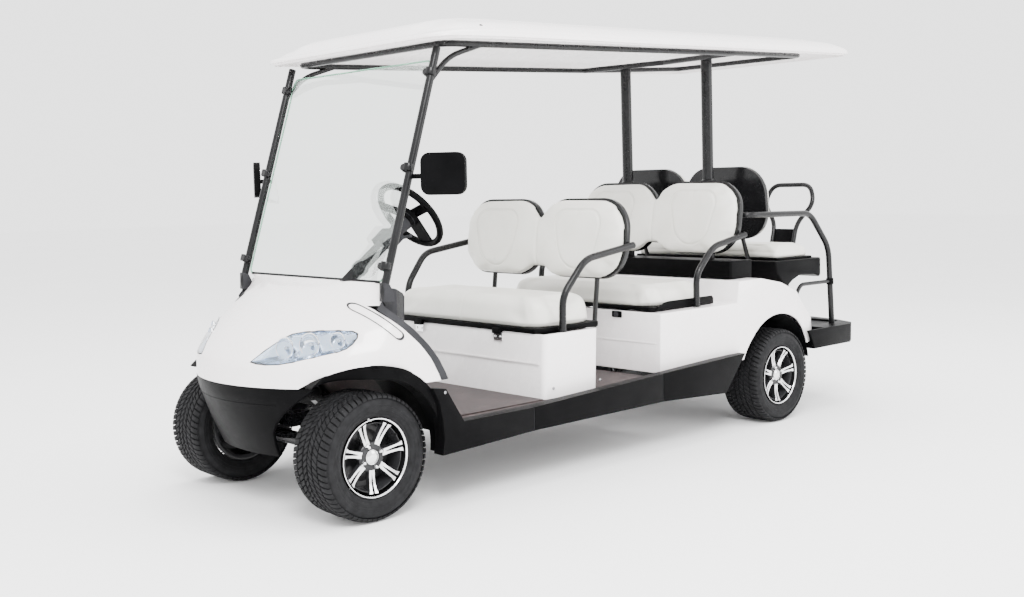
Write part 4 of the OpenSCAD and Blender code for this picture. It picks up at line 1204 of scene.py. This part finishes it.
back_pads = []
for i, (vs, fs) in enumerate(sorted(loose("backrest_cushions"), key=lambda q: sum(v.y for v in q[0]) / len(q[0]))):
    ys = [v.y for v in vs]; zs_ = [v.z for v in vs]
    zlo, zhi = min(zs_), max(zs_)
    rearward = i == 2
    ob = raw("backrest_pad_%d" % i, vs, fs)
    # fit the leaning plane from the frame's own solid
    lean = Vector((0, (1350 - 1312) / 352, 1)).normalized() if i == 0 else Vector((0, (2190 - 2136) / 355, 1)).normalized() if i == 1 else Vector((0, (2520 - 2560) / 362, 1)).normalized()
    nrm = Vector((1, 0, 0)).cross(lean)          # points back or front
    if nrm.y > 0:
        nrm = -nrm
    face = -nrm if rearward else nrm              # towards the sitter
    cen = Vector((0, sum(ys) / len(ys), sum(zs_) / len(zs_)))
    a_ = min((v - cen).dot(face) for v in vs)     # back plane
    # shrink: sides and front pulled in, the back plane kept
    for v in ob.data.vertices:
        d = (v.co - cen).dot(face)
        if d - a_ > 0.02:
            v.co -= face * 0.013
        u = (v.co - cen)
        lx, lz = u.x, u.dot(lean)
        v.co -= Vector((1, 0, 0)) * math.copysign(0.002, lx) * (1 if abs(lx) > 0.3 else 0) + lean * math.copysign(0.002, lz)
    back = a_
    m = ob.modifiers.new("b", "BEVEL"); m.width = 0.016; m.segments = 3; m.limit_method = "ANGLE"; m.angle_limit = radians(50)
    settle(ob)
    swell(ob, 0.010, 4.0, 0.020, pin=lambda p: (p - cen).dot(face) < back + 0.005)
    me = ob.data
    nr = normals(me)
    Hh = max((v - cen).dot(lean) for v in vs) - min((v - cen).dot(lean) for v in vs)
    z0 = min((v - cen).dot(lean) for v in vs)
    for k, v in enumerate(me.vertices):
        p, n = v.co, nr[k]
        u = p - cen
        x, z, dep = u.x, u.dot(lean), u.dot(face)
        f = max(0.0, n.dot(face))
        d = 0.0
        if f > 0.25:
            for sx in (-0.257, 0.257):
                sd = panel_seam(x - sx, z - z0, 0.085, 0.152, 0.040, Hh - 0.052, 0.082)
                d -= 0.0052 * math.exp(-(sd / 0.0050) ** 2)
                if sd < 0:
                    d += 0.0030 * (1 - math.exp(sd / 0.03))
                d -= 0.0030 * math.exp(-((x - sx) / 0.0045) ** 2) * (1 if sd < 0 else 0)
            d -= 0.0060 * math.exp(-(x / 0.0065) ** 2)
        elif abs(n.dot(face)) < 0.5:
            d -= 0.0028 * math.exp(-((dep - (back + 0.020)) / 0.0045) ** 2)
        v.co = p + n * d
    lo_, hi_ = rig.box("backrest_cushions")
    front = max((v - cen).dot(face) for v in vs)
    for v in me.vertices:
        q = (v.co - cen).dot(face)
        if q < back + 0.0035:
            v.co += face * (back - q)
        elif q > front + 0.006:
            v.co += face * (front + 0.006 - q)
        v.co.x = max(lo_.x - 0.002, min(hi_.x + 0.002, v.co.x))
    dress(ob, VINYL, "root", ("backrest_cushions",) if i == 0 else (), "seat_vinyl", True, 80)
    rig.padded(ob, fill=0.75)
    back_pads.append((ob, cen, lean, face, z0, Hh))

# stitch lines beside the panel seams
def stitches(ob, cen, lean, face, z0, Hh, name):
    bv = BVHTree.FromPolygons([v.co for v in ob.data.vertices], [p.vertices for p in ob.data.polygons])
    V, F = [], []
    xax = Vector((1, 0, 0))
    for sx in (-0.257, 0.257):
        for off in (0.0075,):
            n = 76
            P = []
            for i in range(n):
                g = 2 * pi * (i + 0.5) / n
                # march out from the panel centre to the offset seam
                dx, dz = cos(g), sin(g)
                r = 0.02
                zc = Hh / 2
                while r < 0.4 and panel_seam(dx * r, zc + dz * r, 0.085, 0.152, 0.040, Hh - 0.052, 0.082) < off:
                    r += 0.0008
                P.append((sx + dx * r, z0 + zc + dz * r))
            for i in range(n):
                a2, b2 = P[i], P[(i + 1) % n]
                L = math.hypot(b2[0] - a2[0], b2[1] - a2[1])
                k = max(1, round(L / 0.0085))
                for j in range(k):
                    pts = []
                    for t in ((j + 0.15) / k, (j + 0.8) / k):
                        x, z = a2[0] + (b2[0] - a2[0]) * t, a2[1] + (b2[1] - a2[1]) * t
                        o = cen + xax * x + lean * z + face * 0.2
                        h = bv.ray_cast(o, -face)
                        if h[0] is None:
                            break
                        pts.append((h[0], h[1]))
                    if len(pts) < 2:
                        continue
                    (p, pn), (q, qn) = pts
                    t_ = (q - p).normalized(); s_ = t_.cross(pn).normalized() * 0.0007
                    b0 = len(V)
                    for (w_, wn) in ((p, pn), (q, qn)):
                        V += [w_ - s_ - wn * 0.0004, w_ - s_ * 0.6 + wn * 0.0007, w_ + s_ * 0.6 + wn * 0.0007, w_ + s_ - wn * 0.0004]
                    for e in range(3):
                        F.append([b0 + e, b0 + e + 1, b0 + 4 + e + 1, b0 + 4 + e])
                    F += [[b0, b0 + 1, b0 + 2, b0 + 3], [b0 + 4, b0 + 5, b0 + 6, b0 + 7]]
    if V:
        put(name, V, F, PIPING, "root", (), "seat_vinyl", True, 60)


for i, (ob, cen, lean, face, z0, Hh) in enumerate(back_pads):
    stitches(ob, cen, lean, face, z0, Hh, "backrest_stitching_%d" % i)

# shells: rounded edge
bevel_copy("backrest_shells", 7, SHELL, 3, 40)

# ------------------------------------------------------------------ glass, mirrors, steering wheel
a17 = math.atan2(276, 884)
WO = S(0, 108, 838); wdir = Vector((0, sin(a17), cos(a17)))
lo_, hi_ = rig.box("windshield")
wdir = Vector((0, (hi_.y - lo_.y) / (hi_.z - lo_.z), 1)).normalized()
edge_pts = []
zr = (hi_ - lo_).z
def wp(x, t):
    base = Vector((x, (lo_.y + hi_.y) / 2, (lo_.z + hi_.z) / 2))
    return base + wdir * t
T = ((hi_.z - lo_.z) / 2) / wdir.z - 0.0035
Xw = hi_.x - 0.0035
tube("windshield_edge", [wp(-Xw, -T), wp(Xw, -T), wp(Xw, T), wp(-Xw, T)], 0.0034, EDGE, "root", (), "clear_glass", bend=0.030, close=True)
tube("windshield_base_seal", [wp(-Xw + 0.02, -T - 0.001), wp(Xw - 0.02, -T - 0.001)], 0.0052, RUBBER, "root", (), "tyre")

bevel_copy("side_mirrors", 5, BLACK, 3, 40)
for s, nm in ((1, "left"), (-1, "right")):
    V, F = [], []
    c = S(s * 618, 262, 1222)
    ry = radians(30)
    ux = Vector((cos(ry), s * 0 + sin(ry) * 1, 0)) if True else None
    for k, off in enumerate((0.0215, 0.0232)):
        for i in range(48):
            g = 2 * pi * i / 48
            x, z = superel(g, 0.074, 0.067, 4)
            V.append((x, z, off))
    # rear face of the housing
    cc = S(s * 618, 262, 1222)
    import_dir = Vector((-s * sin(ry), cos(ry), 0))
    d = 0.013
    ux = Vector((cos(ry), s * sin(ry), 0))
    P = [cc + ux * x + Vector((0, 0, z)) + import_dir * (d + (0.0006 if off > 0.022 else -0.001)) for x, z, off in V]
    F = [[i, (i + 1) % 48, 48 + (i + 1) % 48, 48 + i] for i in range(48)] + [list(range(48)), list(range(48, 96))]
    put("mirror_glass_" + nm, P, F, CHROME, "root", (), "clear_glass", True, 30)

sw = NODES["steering_wheel"]["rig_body"]
CT = radians(51.9)
sax = Vector((0, sin(CT), cos(CT)))
scn = S(240, 410, 1070)
pieces = [revolve([(0, -2.5), (18, -3), (27, -5), (33, -9), (36, -15), (37, -22), (0, -22)], scn, sax, 48)]
join("steering_hub_cap", pieces, DARK, sw, (), "black_plastic", 40)
bm_rim = revolve([(142 + 13.6 * cos(2 * pi * k / 20), 13.6 * sin(2 * pi * k / 20)) for k in range(20)] + [(142 + 13.6, 0)], scn, sax, 120)
for v in bm_rim.data.vertices:
    q = v.co - scn
    ang = math.atan2(q.dot(sax.cross(Vector((1, 0, 0)))), q.x)
    rad = (q - sax * q.dot(sax))
    cen_ = rad.normalized() * 0.142
    k = 0.955 + 0.035 * cos(ang * 36) if sin(ang * 2) > 0.3 or sin(ang * 2) < -0.3 else 0.985
    v.co = scn + cen_ + (q - cen_) * k
join("steering_grip", [bm_rim], BLACK, sw, (), "black_plastic", 60)
co = revolve([(24.5, -402), (25, -398), (25, -330), (30, -322), (30, -300), (25, -292), (24.6, -230)], scn, sax, 40)
join("column_boot", [co], RUBBER, "root", (), "tyre", 40)

# ------------------------------------------------------------------ small fittings
def box_piece(c, ux, uy, uz, hx, hy_, hz, r=2.0):
    bm = bmesh.new(); bmesh.ops.create_cube(bm, size=2.0)
    for v in bm.verts:
        v.co = Vector(c) + Vector(ux) * v.co.x * hx / 1000 + Vector(uy) * v.co.y * hy_ / 1000 + Vector(uz) * v.co.z * hz / 1000
    bmesh.ops.bevel(bm, geom=list(bm.edges), offset=r / 1000, segments=2, affect="EDGES")
    me = bpy.data.meshes.new("bp"); bm.to_mesh(me); bm.free()
    ob = bpy.data.objects.new("bp", me); scene.collection.objects.link(ob)
    return ob


X_, Y_, Z_ = Vector((1, 0, 0)), Vector((0, 1, 0)), Vector((0, 0, 1))
for i, s in enumerate((1, -1)):
    c = S(s * 257, 848.6, 556)
    o = [box_piece(c, X_, Y_, Z_, 27, 1.4, 17, 1.2), bolt(c + Vector((-0.016, -0.0013, 0)), (0, -1, 0), 5.5, 3.2), bolt(c + Vector((0.016, -0.0013, 0)), (0, -1, 0), 5.5, 3.2)]
    join("seat_hinge_plate_%d" % i, o, CHROME, "root", (), "steel", 30)
    c = S(s * 275, 1579.5, 588)
    rec = [box_piece(c, X_, Y_, Z_, 30, 2.5, 15, 2.2)]
    join("seat_latch_plate_%d" % i, rec, BLACK, "root", (), "black_plastic", 30)
    pull = [revolve([(0, 9), (9, 8.6), (12, 6.5), (12.6, 3), (11.5, 1), (11.5, -2), (0, -2)], c + Vector((0, -0.002, -0.001)), (0, -1, 0), 32)]
    join("seat_latch_pull_%d" % i, pull, DARK, "root", (), "dark_trim", 40)

# step lines pressed into the pod fronts
obs = []
obs.append(box_piece(S(0, 846.6, 462), X_, Y_, Z_, 498, 2.4, 4.5, 2.0))
join("front_pod_step", obs, WHITE, "root", (), "white_body", 30)
join("middle_pod_step", [box_piece(S(0, 1580.3, 470), X_, Y_, Z_, 500, 2.0, 4.5, 1.8)], WHITE, "root", (), "white_body", 30)


def band(node, name, co, no, half, grow_mm, mat, slot, side=None):
    "thin strip of a node's own surface between two parallel planes"
    src = NODES[node]
    bm = bmesh.new(); bm.from_mesh(src.data)
    bmesh.ops.remove_doubles(bm, verts=bm.verts, dist=2e-5)
    no = Vector(no).normalized(); co = Vector(co)
    for sg in (1, -1):
        g = bm.verts[:] + bm.edges[:] + bm.faces[:]
        bmesh.ops.bisect_plane(bm, geom=g, plane_co=co + no * half * sg, plane_no=no * sg, clear_outer=True)
    bm.normal_update()
    for v in bm.verts:
        pass
    mv = {v: v.co + v.normal * grow_mm / 1000 for v in bm.verts}
    for v, p in mv.items():
        k = (p - v.co).dot(no)
        v.co = p - no * k
    me = bpy.data.meshes.new(name); bm.to_mesh(me); bm.free()
    if not me.polygons:
        print("empty band", name); return
    ob = bpy.data.objects.new(name, me); scene.collection.objects.link(ob)
    return dress(ob, mat, src["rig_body"], (), slot, True, 30)


for i, y in enumerate((716, 1513)):
    band("side_sills", "sill_seam_%d" % i, S(0, y, 0), (0, 1, 0), 0.0014, 0.35, DARK, "dark_trim")

# trim inset and its thin dark line, laid on the outer face of the cowl side
trim_bv = {}
def on_side(node_names, y, z, s, off):
    best = None
    for n in node_names:
        if n not in trim_bv:
            me = (cowl if n == "front_cowl" else NODES[n]).data
            trim_bv[n] = BVHTree.FromPolygons([v.co for v in me.vertices], [p.vertices for p in me.polygons])
        o = S(s * 900, y, z)
        h = trim_bv[n].ray_cast(o, Vector((-s, 0, 0)))
        if h[0] is not None and (best is None or h[3] < best[1]):
            best = (h[0] + (h[1] if h[1].x * s > 0 else -h[1]) * off, h[3])
    return best[0] if best else None


for s, nm in ((1, "left"), (-1, "right")):
    a0, a1, hw = (30, 750), (105, 655), 15.5
    L_ = math.hypot(a1[0] - a0[0], a1[1] - a0[1]); dx, dz = (a1[0] - a0[0]) / L_, (a1[1] - a0[1]) / L_
    loop = []
    for i in range(13):
        g = pi * i / 12
        loop.append((a1[0] + hw * (dx * sin(g) - dz * cos(g)), a1[1] + hw * (dz * sin(g) + dx * cos(g))))
    for i in range(1, 12):
        loop.append((loop[12][0] + (a0[0] - a1[0]) * i / 11, loop[12][1] + (a0[1] - a1[1]) * i / 11))
    for i in range(1, 12):
        g = pi + pi * i / 12
        loop.append((a0[0] + hw * (dx * sin(g) - dz * cos(g)), a0[1] + hw * (dz * sin(g) + dx * cos(g))))
    for i in range(11):
        loop.append((loop[0][0] + (a0[0] - a1[0]) * (1 - i / 11), loop[0][1] + (a0[1] - a1[1]) * (1 - i / 11)))
    pts = [on_side(["front_cowl"], y, z, s, 0.0016) for y, z in loop]
    if all(p is not None for p in pts):
        cen_ = sum(pts, Vector()) / len(pts)
        tube("trim_inset_line_" + nm, pts, 0.0017, DARK, "root", (), "dark_trim", bend=0.002, close=True)
        V = [p for p in pts] + [cen_ + (p - cen_) * 0.9 + Vector((s * 0.0012, 0, 0)) for p in pts] + [cen_ + Vector((s * 0.0012, 0, 0))]
        n = len(pts)
        F = [[i, (i + 1) % n, n + (i + 1) % n, n + i] for i in range(n)] + [[n + i, n + (i + 1) % n, 2 * n] for i in range(n)]
        put("trim_inset_" + nm, V, F, DARK, "root", (), "dark_trim", True, 60)
    else:
        print("trim inset missed", nm)

ms = NODES["middle_seat_cushion"]["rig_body"]
for s, nm in ((1, "left"), (-1, "right")):
    o = prism([(1606, 613.5), (1640, 634), (1668, 645), (1700, 650), (2026, 652), (2036, 640), (2036, 613.5)], "x", s * 474.5, s * 483)
    bevel(o, 2.5, 2, 30)
    o.name = "middle_cushion_side_mould_" + nm
    dress(o, BLACK, ms, (), "black_plastic", True, 40)
    o = prism([(86, 840), (110, 833), (126, 800), (130, 768), (84, 772)], "x", s * 457, s * 492)
    bevel(o, 3, 2, 30)
    o.name = "strut_foot_cap_" + nm
    dress(o, DARK, "root", (), "dark_trim", True, 40)

# fasteners
bolts = []
for s in (1, -1):
    bolts.append(bolt(S(s * 600, 262, 437), (s, 0, 0), 5.5, 0.0 + 1.5))
for s in (1, -1):
    for (x, y, z, ax_) in ((s * 524.5, 900, 360, (s, 0, 0)), (s * 524.5, 1180, 360, (s, 0, 0))):
        bolts.append(bolt(S(x, y, z), ax_, 6.5, 4))
    for (c0, c1) in ((982, 590), (1880, 622)):
        for dy in (-11, 11):
            bolts.append(bolt(S(s * 502, c0 + dy, c1 - 6), (0, 0, 1), 4, 3))
join("body_bolts", bolts, STEEL, slot="steel")

json.dump({"cad": CAD_BOX, "visual": [list(v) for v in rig.bounds()]}, open("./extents.json", "w"))
